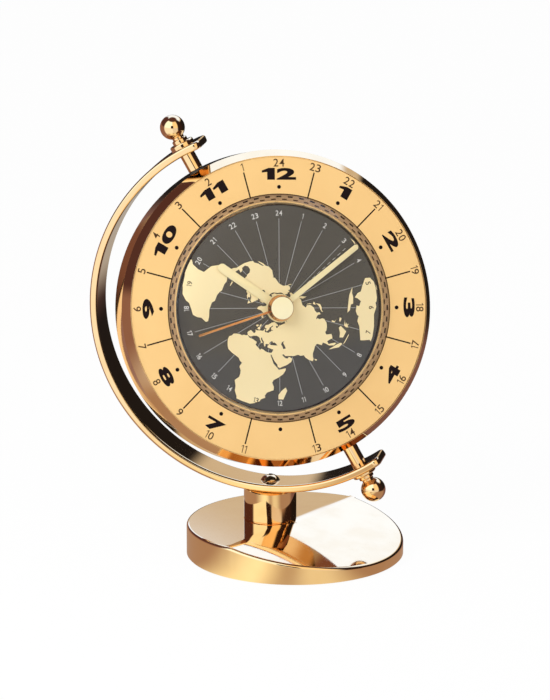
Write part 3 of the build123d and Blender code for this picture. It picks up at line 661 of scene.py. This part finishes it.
# %% [markdown]
# ## Figures from letters
# Blender's own font gives the figures. A positive offset fattens their lines, which makes a bold face
# from a regular one. Each is turned to a mesh, centred on its own box and stretched to the height and
# the breadth that the dial needs, and only then put in place.

# %% Glyphs
def flat_shape(name, outlines, line=0.0):
    """A thin plate from closed outlines of (x, y), where an outline inside another is a hole.

    With a line's half width, only the outlines themselves, as flattened wires.
    """
    sheet = bpy.data.curves.new(name, "CURVE")
    sheet.dimensions = "3D" if line else "2D"
    sheet.fill_mode = "FULL" if line else "BOTH"
    sheet.extrude = 0.0 if line else 0.5 * MM
    sheet.bevel_depth = line * MM
    sheet.bevel_resolution = 0
    for outline in outlines:
        spline = sheet.splines.new("POLY")
        spline.points.add(len(outline) - 1)
        for point, (x, y) in zip(spline.points, outline):
            point.co = (x * MM, y * MM, 0, 1)
        spline.use_cyclic_u = True
    shape = bpy.data.objects.new(name, sheet)
    bpy.context.collection.objects.link(shape)
    return to_mesh(shape)


def to_mesh(shape):
    """The object as a mesh."""
    only(shape)
    bpy.ops.object.convert(target="MESH")
    return bpy.context.object


def letters(word, fatten):
    """Blender's own letters as a mesh."""
    bpy.ops.object.text_add()
    text = bpy.context.object
    text.data.body = word
    text.data.offset = fatten
    text.data.resolution_u = 6
    text.data.extrude = 0.5
    return to_mesh(text)


def fit(shape, width, height, x=0.0):
    """Stretches a flat shape to a width and a height in millimetres, with its left edge at x."""
    points = [v.co for v in shape.data.vertices]
    low = Vector([min(p[k] for p in points) for k in range(3)])
    high = Vector([max(p[k] for p in points) for k in range(3)])
    span = high - low
    width = width or height * span.x / span.y
    sizes = Matrix.Diagonal((width * MM / span.x, height * MM / span.y, print_height * MM / span.z, 1))
    shape.data.transform(Matrix.Translation(((x + width / 2) * MM, 0, 0)) @ sizes
                         @ Matrix.Translation(-(low + high) / 2))
    return width


# %% [markdown]
# The real figures are broad, and their 1 has a flag. The font's 1 is a bare stroke, so it is drawn here:
# seven points for the bold one and seven for the thin one.

# %% Figures
bold_one = [(0.0, 0.60), (0.0, 0.78), (0.34, 1.0), (0.66, 1.0), (0.66, 0.0), (0.27, 0.0), (0.27, 0.66)]
thin_one = [(0.0, 0.74), (0.0, 0.83), (0.20, 1.0), (0.29, 1.0), (0.29, 0.0), (0.19, 0.0), (0.19, 0.86)]


def figure(word, height, digit_width, one, one_width, gap, fatten):
    """A number as a thin mesh, centred on the origin."""
    made, x = [], 0.0
    for digit in word:
        shape = flat_shape("one", [one]) if digit == "1" else letters(digit, fatten)
        x += fit(shape, one_width if digit == "1" else digit_width, height, x) + gap
        made.append(shape)
    number = join("number", made)
    number.data.transform(Matrix.Translation((-(x - gap) / 2 * MM, 0, 0)))
    return number


def figures(name, words, radius, level, *style):
    """Numbers round the dial, given by clock angle, with their heads up wherever they can be."""
    made = []
    for angle, word in words.items():
        one = figure(word, *style)
        over = math.pi if 90 < angle % 360 < 270 else 0.0
        lift = Matrix.Translation((0, 0, (level + print_height / 2) * MM))
        one.data.transform(lift @ clockwise(angle, radius, over))
        made.append(one)
    return join(name, made)


# %% Hour figures, day figures, hour dots and half-hour lines
hours = {30 * hour: str(hour or 12) for hour in range(12) if hour != 6}
day_hours = {(360 - 15 * hour) % 360: str(hour) for hour in range(1, 25) if hour != 12}
hour_style = (3.9, 6.6, bold_one, 4.4, 0.6, 0.045)
day_style = (2.6, 1.65, thin_one, 0.75, 0.4, 0.008)
hour_figures = figures("hour_figures", hours, 44.3, dial_top, *hour_style)
day_figures = figures("day_figures", day_hours, 48.0, dial_top, *day_style)
dots = all_round("hour_dots", spot("hour_dots", 0.65, 40.0, dial_top), range(0, 360, 30))
rays = all_round("half_hour_lines", plate("line", 0.46, 8.9, 37.4, dial_top), range(15, 375, 30))
lay([(hour_figures, ink_black), (day_figures, ink_brown), (dots, ink_black), (rays, ink_black)],
    "drum", "dial_gold")

# %% [markdown]
# The minute track lies in the seat, under the crystal's foot, so it is seen through the bevel. It is a tan
# band with dark dashes, and a dark line closes it on the outside. Rings are discs of many sides whose
# middle is cut out by a second outline.

# %% Minute track under the crystal's foot
def circle(radius, sides=180):
    return [(radius * math.sin(2 * math.pi * k / sides), radius * math.cos(2 * math.pi * k / sides))
            for k in range(sides)]


def printed_ring(name, outer, inner, level):
    """A thin flat ring on a level, in millimetres."""
    band = flat_shape(name, [circle(outer), circle(inner)])
    fit(band, 2 * outer, 2 * outer, -outer)
    band.data.transform(Matrix.Translation((0, 0, (level + print_height / 2) * MM)))
    return band


dash_level, band_outer = seat_level + print_height, 37.5
track_band = printed_ring("track_band", band_outer, 35.42, seat_level)
track_edge = printed_ring("track_edge", band_outer + 0.3, band_outer, dial_top)
outer_dashes = all_round("track_dashes", plate("dash", 1.7, 0.5, 36.6, dash_level), range(0, 360, 6))
inner_dashes = all_round("track_inner", plate("dash", 1.6, 0.42, 35.75, dash_level), range(3, 363, 6))
lay([(track_band, ink_tan), (track_edge, ink_brown), (outer_dashes, ink_shade), (inner_dashes, ink_brown)],
    "drum", "dial_gold")

# %% [markdown]
# ## The world seen from above the pole
# The disc carries a map that looks down on the north pole. Distance from the middle is distance from the
# pole, and the way round is longitude, so a formula turns each coast point into a place on the disc.
# The coasts are short lists of longitude and latitude, joined by straight lines, which is
# all that shows at this size.

# %% Coasts
lands = {
    "eurasia_africa": """32.5 30,34 27.5,36 24,37.3 21,38.5 18,41 15,43 12.5,44 10.5,51 12,50.5 9,48 4.5,
        43.5 0,40 -3,39 -6.5,40.5 -11,40.5 -15,36 -18.5,35 -22,35.5 -24,32.8 -26.5,32.5 -28.5,30.5 -31,
        27 -33.7,22 -34.2,18.5 -34.2,18 -31.5,15.5 -27.5,14.5 -23,12 -18,13.5 -12.5,13 -8.5,12 -5,9.5 -2,
        9.3 1,9.5 4,7 4.4,4.5 6.4,1 6,-3 5,-7.5 4.4,-10.5 6.5,-13 8.8,-15 11,-17 14.5,-16.2 18,-17 21,
        -15.5 24.5,-13 27.8,-10 29.5,-9.7 31.5,-7 33.7,-6 35.8,-2 35.1,3 36.9,10 37.2,11 35,10.2 34,
        12.5 32.8,15.5 32.2,19 30.4,20 32.5,23 32.6,26 31.5,29 31,32.3 31.2,34.3 31.4,35.2 33.2,36 36,
        33 36.2,30.5 36.6,27.5 36.8,26.5 39,28.8 41,26 41,24 40.8,23 40,24 38,22.5 36.5,21 38.5,19.5 41,
        19.3 42,16 43.5,13.7 45.2,12.3 45.3,12.5 44,14 42.5,16 41.8,18.3 40,17 39.5,16 38,15.7 40,
        12.3 41.8,10.3 43.5,7.5 43.8,4.5 43.3,3 42.3,0.5 40.5,-0.5 38.5,-2 36.8,-5.5 36,-8.8 37,-9.3 39,
        -8.8 43,-4 43.4,-1.5 43.5,-1.2 46,-4.5 48.2,-1.5 48.7,1.5 50.8,4.5 52.2,8.3 53.8,8.3 56.8,
        10.5 57.5,10.8 55,12 54.2,14 54,18.5 54.7,21 55.5,21.5 57.3,24 57.3,24 59,29.5 60,25 60.2,22 60.5,
        21.5 63,25 65.3,22 65.7,20.5 63.8,17.3 61.5,18.5 59.8,16.5 57,14.3 55.5,12.8 56,11.2 58.8,8 58.1,
        5.5 59,5 62,10 64,13 66.5,16 68.8,21 70.2,27 71,31 70.2,37 69,41 67,38 66.3,33 66.8,35 64.3,
        38.5 64.3,41 66.2,44.5 66.8,44 68.3,48 67.7,54 68.5,60 69,66 69,67 72.8,72.5 72.5,73.5 69,76 72.5,
        81 72.5,87 75,98 76.2,104 77.6,112 76.2,108 73.5,118 73,127 73.2,131 71,140 72.3,150 71.3,
        160 69.7,170 69.5,178 69.2,185 67.3,190 66.1,186 64.4,180 64.8,178 62.8,171 60.3,164 59.8,
        162.5 56.5,157 51,156 56.5,161.5 60.5,155 59.3,149 59.5,142.5 59.2,136 55,140.5 53.3,140.5 48.5,
        135.5 44,131.5 43,128 40,129.3 36.5,126.5 34.5,125 38,121.5 39.2,118 39,120.5 37.3,119.5 35,
        121.8 31.5,121.5 28.5,118 24.5,114 22.3,110 21,108 21.7,106 19,109 13,107 10.5,105 9,104.8 10.5,
        100.8 13.3,99.3 10,103.4 4,104 1.5,101 3,98.5 8,98 13,97 17,94.3 16,92 22,88.5 21.7,86.5 20,
        82 16.5,80 13,79.5 10.3,77.5 8.2,75 12.5,73 17.5,72.7 21,69 22.3,67 24.8,61.5 25.2,57 26.8,
        52 27.6,50 30,48 29.8,50 27,51.5 25.3,54 24,56.2 26,59.5 22.5,57.5 18.8,52.5 16,45 12.8,43 14,
        42.5 17,39 21.5,35.5 27.5,35 29.5,34.2 27.8""",
    "black_sea": "28.5 42,31 41.2,36 41.5,41.5 41.7,38.5 44.3,36.5 45.2,33.5 44.5,33 46,30.5 46,28.5 44",
    "caspian_sea": "50 37,54 37.2,53 40.5,51 44.8,53 46.8,49 46,47.5 43,49.5 40",
    "americas": """-168 65.6,-163 66.8,-166 68.3,-157 71.3,-141 69.7,-128 70.3,-115 68.5,-108 68,-96 68.2,
        -94 71.5,-88 68,-82 69.2,-81.5 67,-87 64.2,-93.5 61.5,-94.5 58.8,-88 56.7,-82.3 55.2,-82 52.8,
        -79 51.3,-79.5 54.5,-77 57,-78 62.3,-72 61.8,-69.5 59,-65.5 59.8,-62 57,-56 52.5,-60 50.2,
        -66.5 50.1,-71 47,-65 48.8,-64.5 46.3,-60.5 46.2,-66 43.7,-70 43.6,-70.5 41.7,-74 40.5,-76 37,
        -75.7 35.2,-79 33.3,-81.3 31,-80.2 26,-81.2 25.2,-82.7 28,-84.5 30,-89.5 30.3,-90 29.2,-94.5 29.5,
        -97.3 27,-97.7 22.5,-95.5 18.7,-91.5 18.5,-90.3 21,-87 21.3,-88.2 17,-85.5 15.9,-83.3 15,
        -83.7 11,-80.5 9,-77.4 8.6,-75 10.8,-71.5 12.3,-68 11,-62 10.7,-60 8.3,-57 6,-51.5 4.2,-50 0.5,
        -44 -2.6,-39 -3.3,-35.2 -5.5,-35 -8.5,-38.5 -13,-39.2 -17.5,-41 -22,-45 -23.7,-48.5 -26,
        -50 -29.5,-53.5 -33.8,-57 -36.2,-58 -38.3,-62.2 -39,-65 -41,-64.5 -42.7,-65.5 -43.6,-72.8 -43.6,
        -73.7 -40,-73.3 -37,-71.5 -32,-70.3 -25,-70.3 -18.3,-76.2 -14,-79.5 -8,-81.2 -5,-80.3 -2,-80 1,
        -77.5 4,-77.8 7.3,-79.5 8.8,-80.5 7.4,-83 8.4,-85.7 10.3,-87.6 13,-92.5 14.6,-96.5 15.7,-102 18,
        -105.5 20,-105.8 22.5,-109.3 26,-113 31.2,-114.7 31.5,-112 27.5,-109.7 23,-112 25,-115 28.5,
        -117 32.5,-120.6 34.5,-122.5 37.5,-124.3 40.4,-124 46,-124.6 48.3,-122.8 49,-127.5 51,-130.5 54.5,
        -133.5 57.5,-138 59.1,-146 60.8,-151 59.5,-154 59,-160 55.8,-164.8 54.6,-158 57.8,-157.5 58.8,
        -162 59,-165 61,-165.5 63,-161 64,-166.5 64.6""",
    "greenland": """-73 78.2,-68 76,-58 75.5,-54 71,-51.5 68,-53 66,-49.5 62,-44 60,-41 63,-38 65.8,
        -27 68.2,-22 70.5,-19 75,-18 80,-25 82.2,-35 83.5,-60 82,-68 80""",
    "arctic_west": "-80 73.6,-73 71.5,-62 66.5,-65 62,-72 64,-78 65,-73 68,-88 70.3,-89 73",
    "arctic_middle": "-124 73.5,-117 74,-105 73,-103 69.5,-117 69.7,-124 71.5",
    "arctic_north": "-90 81,-64 82.8,-77 78.5,-88 76.5,-98 78",
    "iceland": "-24 65.5,-20 66.3,-14 65,-18 63.5,-22.5 64",
    "great_britain": "-5.5 50,1 51.3,1.5 52.8,-1.5 55,-2 57.5,-5 58.6,-5.5 56,-3 54.5,-4.7 52.5,-3 51.4",
    "ireland": "-6.2 52.2,-6 54.5,-8 55.2,-10 53.5,-9.8 51.7",
    "spitsbergen": "12 78.5,20 80.3,25 79.5,17 76.7",
    "novaya": "51.5 71.5,56 70.8,57 73,68 76.5,60 76,54 74",
    "japan": """130 31.5,132 33.8,135.5 33.6,140.3 35.5,141.7 39.5,141.3 41.4,139.7 39,136.8 37,
        132.5 35.3,129.8 33.2""",
    "hokkaido": "140.2 41.7,143 42.2,145.3 43.5,141.7 45.3,140.3 43.2",
    "sakhalin": "142 46.2,143.5 49,143.2 52,142.6 54.2,142 50.5",
    "luzon": "120.5 18.3,122.2 18.2,121.7 14.5,124 12.8,120.5 14.2",
    "mindanao": "122.2 7.2,125.5 5.8,126.3 8.5,124.5 9,123 8.6",
    "borneo": "109.3 1.5,113 3.2,117 7,119 5,117.6 1,116 -4,110.5 -3",
    "sumatra": "95.3 5.6,98.5 3.8,103.5 0,106 -3,105.8 -5.8,102 -4,98.5 1.5",
    "java": "105.3 -6.7,108.5 -6.7,114.4 -7.7,114.4 -8.6,108 -7.8",
    "sulawesi": "119.5 -5.5,119 -2,120 1,125 1.5,121 0,123 -1,121.5 -2.5,122.5 -5,120.5 -3.5",
    "new_guinea": "131 -0.8,134 -1,138 -1.7,145 -4.5,150.5 -10.5,146 -8.5,143 -9,138 -8.2,137.5 -5.2,133 -4",
    "australia": """113.5 -23,114.3 -26.5,115.8 -32,115.2 -34.3,118 -35,124 -33,131 -31.5,135.5 -34.8,
        138 -33,138.3 -35.5,141 -38.2,146.3 -39,150 -37.3,152.8 -32,153.5 -27,149.5 -22,146 -19,145.3 -15,
        142.6 -10.8,141.5 -14,139.5 -17.5,136 -15.2,136.7 -12.2,132.5 -11.3,130 -13,129 -15,125.5 -14.2,
        122.3 -17.5,117 -20.6""",
    "tasmania": "144.8 -40.8,148.2 -41,147 -43.5,145.5 -42.5",
    "new_zealand_north": "172.8 -34.5,175.5 -36.8,178.4 -37.8,176 -41,174 -39.3,174.7 -37",
    "new_zealand_south": "172.7 -40.7,174.2 -41.5,171.5 -43.5,168.8 -43.6,171.3 -42",
    "madagascar": "49.3 -12,50.3 -15.8,47.2 -25,44 -24.5,44 -20,46 -15.8",
    "ceylon": "80 9.6,81.8 7,80.5 6,79.8 7.5",
    "cuba": "-84.5 22,-81 23.1,-75 20.5,-77.5 19.9,-81 22.1",
    "hispaniola": "-74 19.8,-69 19.3,-69.5 18.3,-74 18.3",
    "newfoundland": "-59 47.8,-56 51.5,-53 47",
}
map_scale, south_stretch, map_turn = 0.256, 0.0013, 225.0
map_edge, edge_squeeze = 33, 0.3


def on_map(longitude, latitude):
    """Place on the disc in millimetres, with the pole in the middle and the far south squeezed in."""
    clock_angle = math.radians(map_turn - longitude)
    radius = map_scale * (90 - latitude) + south_stretch * max(0, -latitude) ** 2
    radius = min(radius, map_edge + (radius - map_edge) * edge_squeeze)
    return radius * math.sin(clock_angle), radius * math.cos(clock_angle)


def land_print(name, level, flatness, line=0.0):
    """All lands as one thin plate, or all coasts as thin lines."""
    coasts = [[on_map(*map(float, pair.split())) for pair in coast.split(",")] for coast in lands.values()]
    piece = flat_shape(name, coasts, line)
    piece.data.transform(Matrix.Translation((0, 0, (level + print_height / 2) * MM))
                         @ Matrix.Diagonal((1, 1, flatness, 1)))
    return piece


# %% Lands, coast lines, hour lines, zone figures and a painted shadow at the disc's edge
lines = all_round("hour_lines", plate("line", 0.15, 24.2, 5.4, disc_top), range(0, 360, 15))
on_land = (5, 6, 7, 13, 19)
zone_words = {15 * step: str(step or 24) for step in range(24) if step not in on_land + (14,)}
zone_words[213] = "14"  # a little round from its line, clear of a coast
land_words = {15 * step: str(step) for step in on_land}
zone_style = (1.7, 1.0, thin_one, 0.5, 0.25, 0.01)
zones = figures("zone_figures", zone_words, 31.4, disc_top, *zone_style)
land_zones = figures("land_figures", land_words, 31.4, disc_top + 3 * print_height, *zone_style)
date_line = join("date_line", [plate("dash", 0.16, 1.3, 8.0 + 2.3 * k, disc_top) for k in range(10)])
date_line.data.transform(clockwise(49.0))
coasts = land_print("coast_lines", disc_top + print_height, 0.1, 0.16)
ground = land_print("lands", disc_top + 2 * print_height, print_height)
# A black ring along the disc's edge is a painted shadow: it stands for the shade in the gap between the disc
# and the dial ring.
painted_gap_shadow = printed_ring("painted_gap_shadow", disc_radius - 0.1, 33.95, disc_top + 3 * print_height)
lay([(lines, ink_grey), (zones, ink_white), (date_line, ink_white), (coasts, ink_shade),
     (ground, map_gold), (land_zones, ink_brown), (painted_gap_shadow, ink_black)], "world_turntable", "world_disc_grey")

# %% [markdown]
# ## The hands
# Each hand is a flat baton with a round eye. A cube is pressed to the strip's size, its far end is
# rounded by a bevel of its two upright edges, and a second fine bevel breaks the edge of its face.

# %% Hands
def baton(name, width, length, low, high):
    """A strip along +Y with a round far end, in millimetres."""
    strip = plate(name, width, length, 0.0, low, high - low)
    pick_edges(strip, lambda a, b, sides: min(a.y, b.y) > length * 0.99 and abs(a.z - b.z) > 0.001)
    bpy.ops.mesh.bevel(offset=width * 0.49 * MM, segments=10)
    bpy.ops.object.mode_set(mode="OBJECT")
    return strip


def soften(piece, width, segments=2, angle=30):
    """A fine bevel on every sharp edge, applied."""
    only(piece)
    bevel = piece.modifiers.new("edge", "BEVEL")
    bevel.width = width * MM
    bevel.segments = segments
    bevel.limit_method = "ANGLE"
    bevel.angle_limit = math.radians(angle)
    bevel.harden_normals = False
    bpy.ops.object.modifier_apply(modifier=bevel.name)
    bpy.ops.object.shade_smooth_by_angle(angle=math.radians(35))
    return piece


def hand(name, node, width, length, eye_radius, clock_angle, body, material, slot):
    """A baton with its eye, turned to its hour."""
    _, inner, low, high = measure(node, drum_place)
    strip = soften(baton(name, width, length, low, high), min(width, high - low) * 0.2)
    eye_outline = [(eye_radius, low, 0), (eye_radius, high, (high - low) * 0.3), (inner, high, 0),
                   (inner, low, 0)]
    eye = lathe(name + "_eye", rounded(eye_outline, 3), 96)
    piece = join(name, [eye, strip])
    piece.data.transform(clockwise(clock_angle))
    dress(material, piece)
    settle(piece, drum_place, body, slot, node)


hand("hour_baton", "hour_hand", 2.9, 25.0, 4.7, 304.35, "hour_work", hand_gold, "hand_gold")
hand("minute_baton", "minute_hand", 1.8, 33.5, 4.6, 52.2, "minute_work", hand_gold, "hand_gold")
hand("second_needle", "second_hand", 0.75, 29.2, 4.4, 252.0, "second_work", copper, "second_hand_copper")

# %% Hub cap
_, _, cap_low, cap_high = measure("hub_cap", drum_place)
cap_foot, cap_top = 4.3, 3.78
cap_outline = [(cap_foot, cap_low, 0), (cap_foot, cap_low + 0.5, 0.2), (cap_top, cap_high, 0.25),
               (0, cap_high, 0), (0, cap_low, 0)]
cap = lathe("cap", rounded(cap_outline), 96)
dress(copper, cap)
cap.data.materials.append(cap_gold)
for side in cap.data.polygons:
    side.material_index = int(side.normal.z > 0.9 and side.center.z > (cap_high - 0.1) * MM)
settle(cap, drum_place, "second_work", "hand_gold", "hub_cap")

# %% [markdown]
# ## The arm
# The arm began as a flat bar that was bent round a former. Here it is made in the same order: a bar
# whose corners are rounded, cut across into short lengths so that it can bend, bent by a formula, and
# polished by a wide bevel, which gives its narrow face the soft crown that carries the long highlight.

# %% Arm
arm_first, arm_last, arm_width, arm_corner, cuts = 113.7, 306.4, 13.6, 2.4, 160
arm_place = Matrix.Translation(arm_centre) @ Matrix(((1, 0, 0, 0), (0, 0, -1, 0), (0, 1, 0, 0), (0, 0, 0, 1)))
arm_middle = (arm_outer + arm_inner) / 2
arm_length = math.radians(arm_last - arm_first) * arm_middle


def cut_across(piece, stations):
    """Cuts the mesh across X at each station, in millimetres."""
    bpy.ops.object.mode_set(mode="EDIT")
    for x in stations:
        bpy.ops.mesh.select_all(action="SELECT")
        bpy.ops.mesh.bisect(plane_co=(x * MM, 0, 0), plane_no=(1, 0, 0))
    bpy.ops.object.mode_set(mode="OBJECT")


arm = add("arm_bow", bpy.ops.mesh.primitive_cube_add, size=MM)
arm.data.transform(Matrix.Diagonal((arm_length, arm_width, arm_outer - arm_inner, 1)))
pick_edges(arm, lambda a, b, sides: abs(a.x - b.x) < 0.001 and abs(a.y - b.y) < 0.001)
bpy.ops.mesh.bevel(offset=arm_corner * MM, segments=8)
bpy.ops.object.mode_set(mode="OBJECT")
cut_across(arm, [(k / cuts - 0.5) * (arm_length - 2 * arm_corner - 0.6) for k in range(cuts + 1)])
for vertex in arm.data.vertices:
    x, y, z = vertex.co / MM
    angle = math.radians((arm_first + arm_last) / 2) + x / arm_middle
    radius = arm_middle + z
    vertex.co = Vector((radius * math.cos(angle), radius * math.sin(angle), y)) * MM
soften(arm, 0.85, 6, 50)
even_out(arm)
dress(gold, arm)
settle(arm, arm_place, "stand", "gold_metal", "arm")

# %% [markdown]
# ## The two pivots
# Outside each end of the arm sits a ring, a thin neck and a ball, and inside it a plain pin that
# holds the drum. They are lathe work again, stood on the leaning axis.

# %% Pivots
collar_top, collar_low = 1.45, -0.4
collar_radius, stud_radius = 4.15, 1.5
pin_radius, pin_start, pin_short = 2.5, 52.94, 2.2


def ball_knob(seat):
    """Outline from a knob's foot to its ball, above the arm's outer surface."""
    ball, reach = 4.14, 7.1
    neck, waist, foot_height = 2.6, 2.0, 1.15
    start = math.acos(waist / ball)
    arc = [(ball * math.cos(a), seat + reach + ball * math.sin(a))
           for a in (-start + (math.pi / 2 + start) * k / 28 for k in range(29))]
    low = seat + collar_top
    lower = [(0, low, 0), (neck, low, 0), (neck, low + foot_height, 0.3),
             (waist, low + foot_height + 0.25, 0.2), (waist, arc[0][1], 0)]
    return rounded(lower)[:-1] + arc


def ring_and_pin(seat):
    """Outlines of the ring under a knob and of the pin inside the arm."""
    ring = [(collar_radius, seat + collar_low, 0), (collar_radius, seat + collar_top, 0.6),
            (stud_radius, seat + collar_top, 0), (stud_radius, seat + collar_low, 0)]
    pin = [(pin_radius, pin_start, 0.15), (pin_radius, seat - pin_short, 0), (0, seat - pin_short, 0),
           (0, pin_start, 0)]
    return rounded(ring), rounded(pin)


for side, seat in (("upper", 61.65), ("lower", 62.73)):
    ring_points, pin_points = ring_and_pin(seat)
    for name, node, points, turns in (("_ball", "_knob", ball_knob(seat), 128),
                                      ("_ring", "_collar", ring_points, 128),
                                      ("_pin", "_pivot_pin", pin_points, 96)):
        piece = lathe(side + name, points, turns)
        dress(gold, piece)
        settle(piece, pivot_places[side], "stand", "gold_metal", side + node)

# %% [markdown]
# ## Floor, light and camera
# The camera sees plain white, and so do mirrors and clear pieces. The floor is pale and keeps a faint
# shadow. Two soft lamps light the dial, the prints and the plastics, and no mirror shows them.

# %% Floor
def in_sight(finish):
    """1 for a ray from the camera, from a mirror or through a clear piece."""
    rays = finish.node("ShaderNodeLightPath").socket.node.outputs
    glossy, through = Wire(finish, rays["Is Glossy Ray"]), Wire(finish, rays["Is Transmission Ray"])
    return Wire(finish, rays["Is Camera Ray"]).math("MAXIMUM", glossy.math("MAXIMUM", through))


def floor_finish():
    finish = Finish("floor_paper")
    paper = finish.blend(finish.noise(0.02), colour(250, 250, 250), colour(246, 246, 246))
    diffuse = finish.node("ShaderNodeBsdfDiffuse", None, {"Color": paper})
    white = finish.node("ShaderNodeEmission", None, {"Color": (1, 1, 1, 1), "Strength": 1.0})
    mixed = {0: in_sight(finish) * 0.97, 1: diffuse, 2: white}
    return finish.show(finish.node("ShaderNodeMixShader", None, mixed))


floor = add("floor", bpy.ops.mesh.primitive_plane_add, size=6.0)
dress(floor_finish(), floor)
print("floor laid")

# %% World
scene = bpy.context.scene
scene.world = bpy.data.worlds.new("studio")
room = Finish("studio", scene.world)
background = room.blend(in_sight(room), (0.5, 0.5, 0.5, 1), (1, 1, 1, 1))
shine = room.node("ShaderNodeBackground", None, {"Color": background, "Strength": 1.0})
room.show(shine, "ShaderNodeOutputWorld")

# %% [markdown]
# Polished metal shows what stands around it, so the surroundings are half of its finish. Round the clock
# stands a tent of sheets that only the polished metal sees: cream in front on the left,
# with a dark slit for the camera, tan and then black on the right, brown on the left, and behind a
# white sheet high up over a dark table. The tent is one dome, coloured by direction.

# %% Tent
def tent_finish(peak=1.8, gain=(1.06, 1.11, 1.17)):
    finish = Finish("tent_sheets")
    where = finish.node("ShaderNodeTexCoord", out=3)
    moved = finish.node("ShaderNodeVectorMath", {"operation": "SUBTRACT"}, {0: where, 1: (0, 0, 0.05)})
    way = finish.node("ShaderNodeVectorMath", {"operation": "NORMALIZE"}, {0: moved})
    parts = finish.node("ShaderNodeSeparateXYZ", None, {"Vector": way}).socket.node.outputs
    x, y, z = (Wire(finish, parts[k]) for k in range(3))
    turn = x.math("ARCTAN2", y * -1.0) * (180 / math.pi)  # 0 in front, and to the right in degrees
    sunk, tilt = z * -1.0, z - x * 0.45

    def sheet(level, tint):
        return tuple(level / peak * c * g for c, g in zip(tint, gain)) + (1.0,)

    # In front, from left to right: brown, cream, amber and black, with the camera's slit
    brown, black = sheet(0.28, (1, 0.52, 0.42)), sheet(0.03, (1, 0.5, 0.45))
    left = finish.blend(z.above(0.08, 0.2), brown, sheet(0.09, (1, 0.42, 0.4)))
    cream = finish.blend(z.above(0.06, 0.14), sheet(1.05, (1, 0.97, 0.9)), sheet(1.5, (0.8, 0.9, 0.92)))
    shade = finish.blend(turn.above(-74, -62), left, cream)
    amber = finish.blend(z.above(0.06, 0.14), sheet(0.85, (1, 0.93, 0.85)), sheet(1.1, (1, 0.78, 0.46)))
    shade = finish.blend(turn.above(8, 14), shade, amber)
    shade = finish.blend(turn.above(56, 68), shade, black)
    slit = turn.above(-5, -1) * (1 - turn.above(18, 22)) * z.above(0.02, 0.06) * (1 - z.above(0.4, 0.46))
    shade = finish.blend(slit, shade, black)

    # The table in front, with two pools of light
    pools = turn.above(-62, -17) * (1 - turn.above(-17, 12))
    pools = pools + turn.above(0, 22) * (1 - turn.above(26, 58)) * 0.62
    table = finish.blend(pools, sheet(0.42, (1, 0.64, 0.45)), sheet(1.15, (1, 0.93, 0.66)))
    shade = finish.blend(sunk.above(0.22, 0.4), shade, table)

    # Behind, from the table up: dark red with two tan patches, near black, tan and white
    back = finish.blend(tilt.above(0.26, 0.31), sheet(0.015, (1, 0.8, 0.8)), sheet(0.62, (1, 0.86, 0.68)))
    back = finish.blend(tilt.above(0.36, 0.42), back, sheet(peak, (0.56, 0.7, 1)))
    back = finish.blend(sunk.above(0.12, 0.22), back, sheet(0.2, (1, 0.52, 0.48)))
    right = x.above(-0.12, 0.04)
    patches = sunk.above(0.08, 0.12) * (1 - right) + sunk.above(0.22, 0.3) * right * (1 - x.above(0.24, 0.34))
    back = finish.blend(patches, back, sheet(0.42, (1, 0.9, 0.8)))
    behind = turn.math("ABSOLUTE").above(102, 126) * x.above(-0.52, -0.38)
    shade = finish.blend(behind, shade, back)
    shade = finish.blend(z.above(0.84, 0.92), shade, sheet(0.1, (1, 0.42, 0.35)))
    return finish.show(finish.node("ShaderNodeEmission", None, {"Color": shade, "Strength": peak}))


tent = add("tent", bpy.ops.mesh.primitive_uv_sphere_add, segments=96, ring_count=48, radius=2.4)
for vertex in tent.data.vertices:
    vertex.co.z = max(vertex.co.z, 0.0004)
dress(tent_finish(), tent)
tent.visible_camera = tent.visible_diffuse = tent.visible_shadow = tent.visible_transmission = False


# %% Lamps
def lamp(name, place, size, power, tint=(1, 1, 1)):
    """A soft lamp that looks at the clock's middle."""
    light = bpy.data.lights.new(name, "AREA")
    light.shape = "RECTANGLE"
    light.size, light.size_y = size
    light.energy = power
    light.color = tint
    holder = bpy.data.objects.new(name, light)
    bpy.context.collection.objects.link(holder)
    holder.location = place
    aim = Vector((0, 0, 0.08)) - Vector(place)
    holder.rotation_euler = aim.to_track_quat("-Z", "Y").to_euler()
    holder.visible_glossy = False


lamp("key_sheet", (-0.2, -0.3, 0.36), (0.3, 0.3), 1.6)
lamp("fill_sheet", (0.75, -0.5, 0.35), (0.5, 0.8), 1.75, (1, 0.97, 0.93))

# %% Camera
camera = bpy.data.cameras.new("photo_camera")
camera.sensor_width = 36.0
camera.lens = 194.366
eye = bpy.data.objects.new("photo_camera", camera)
bpy.context.collection.objects.link(eye)
eye.location = (0.22399, -1.19415, 0.38276)
eye.rotation_euler = (math.radians(75.59), 0, math.radians(10.94))
camera.clip_start = 0.05
scene.camera = eye
scene.view_settings.view_transform = "Standard"
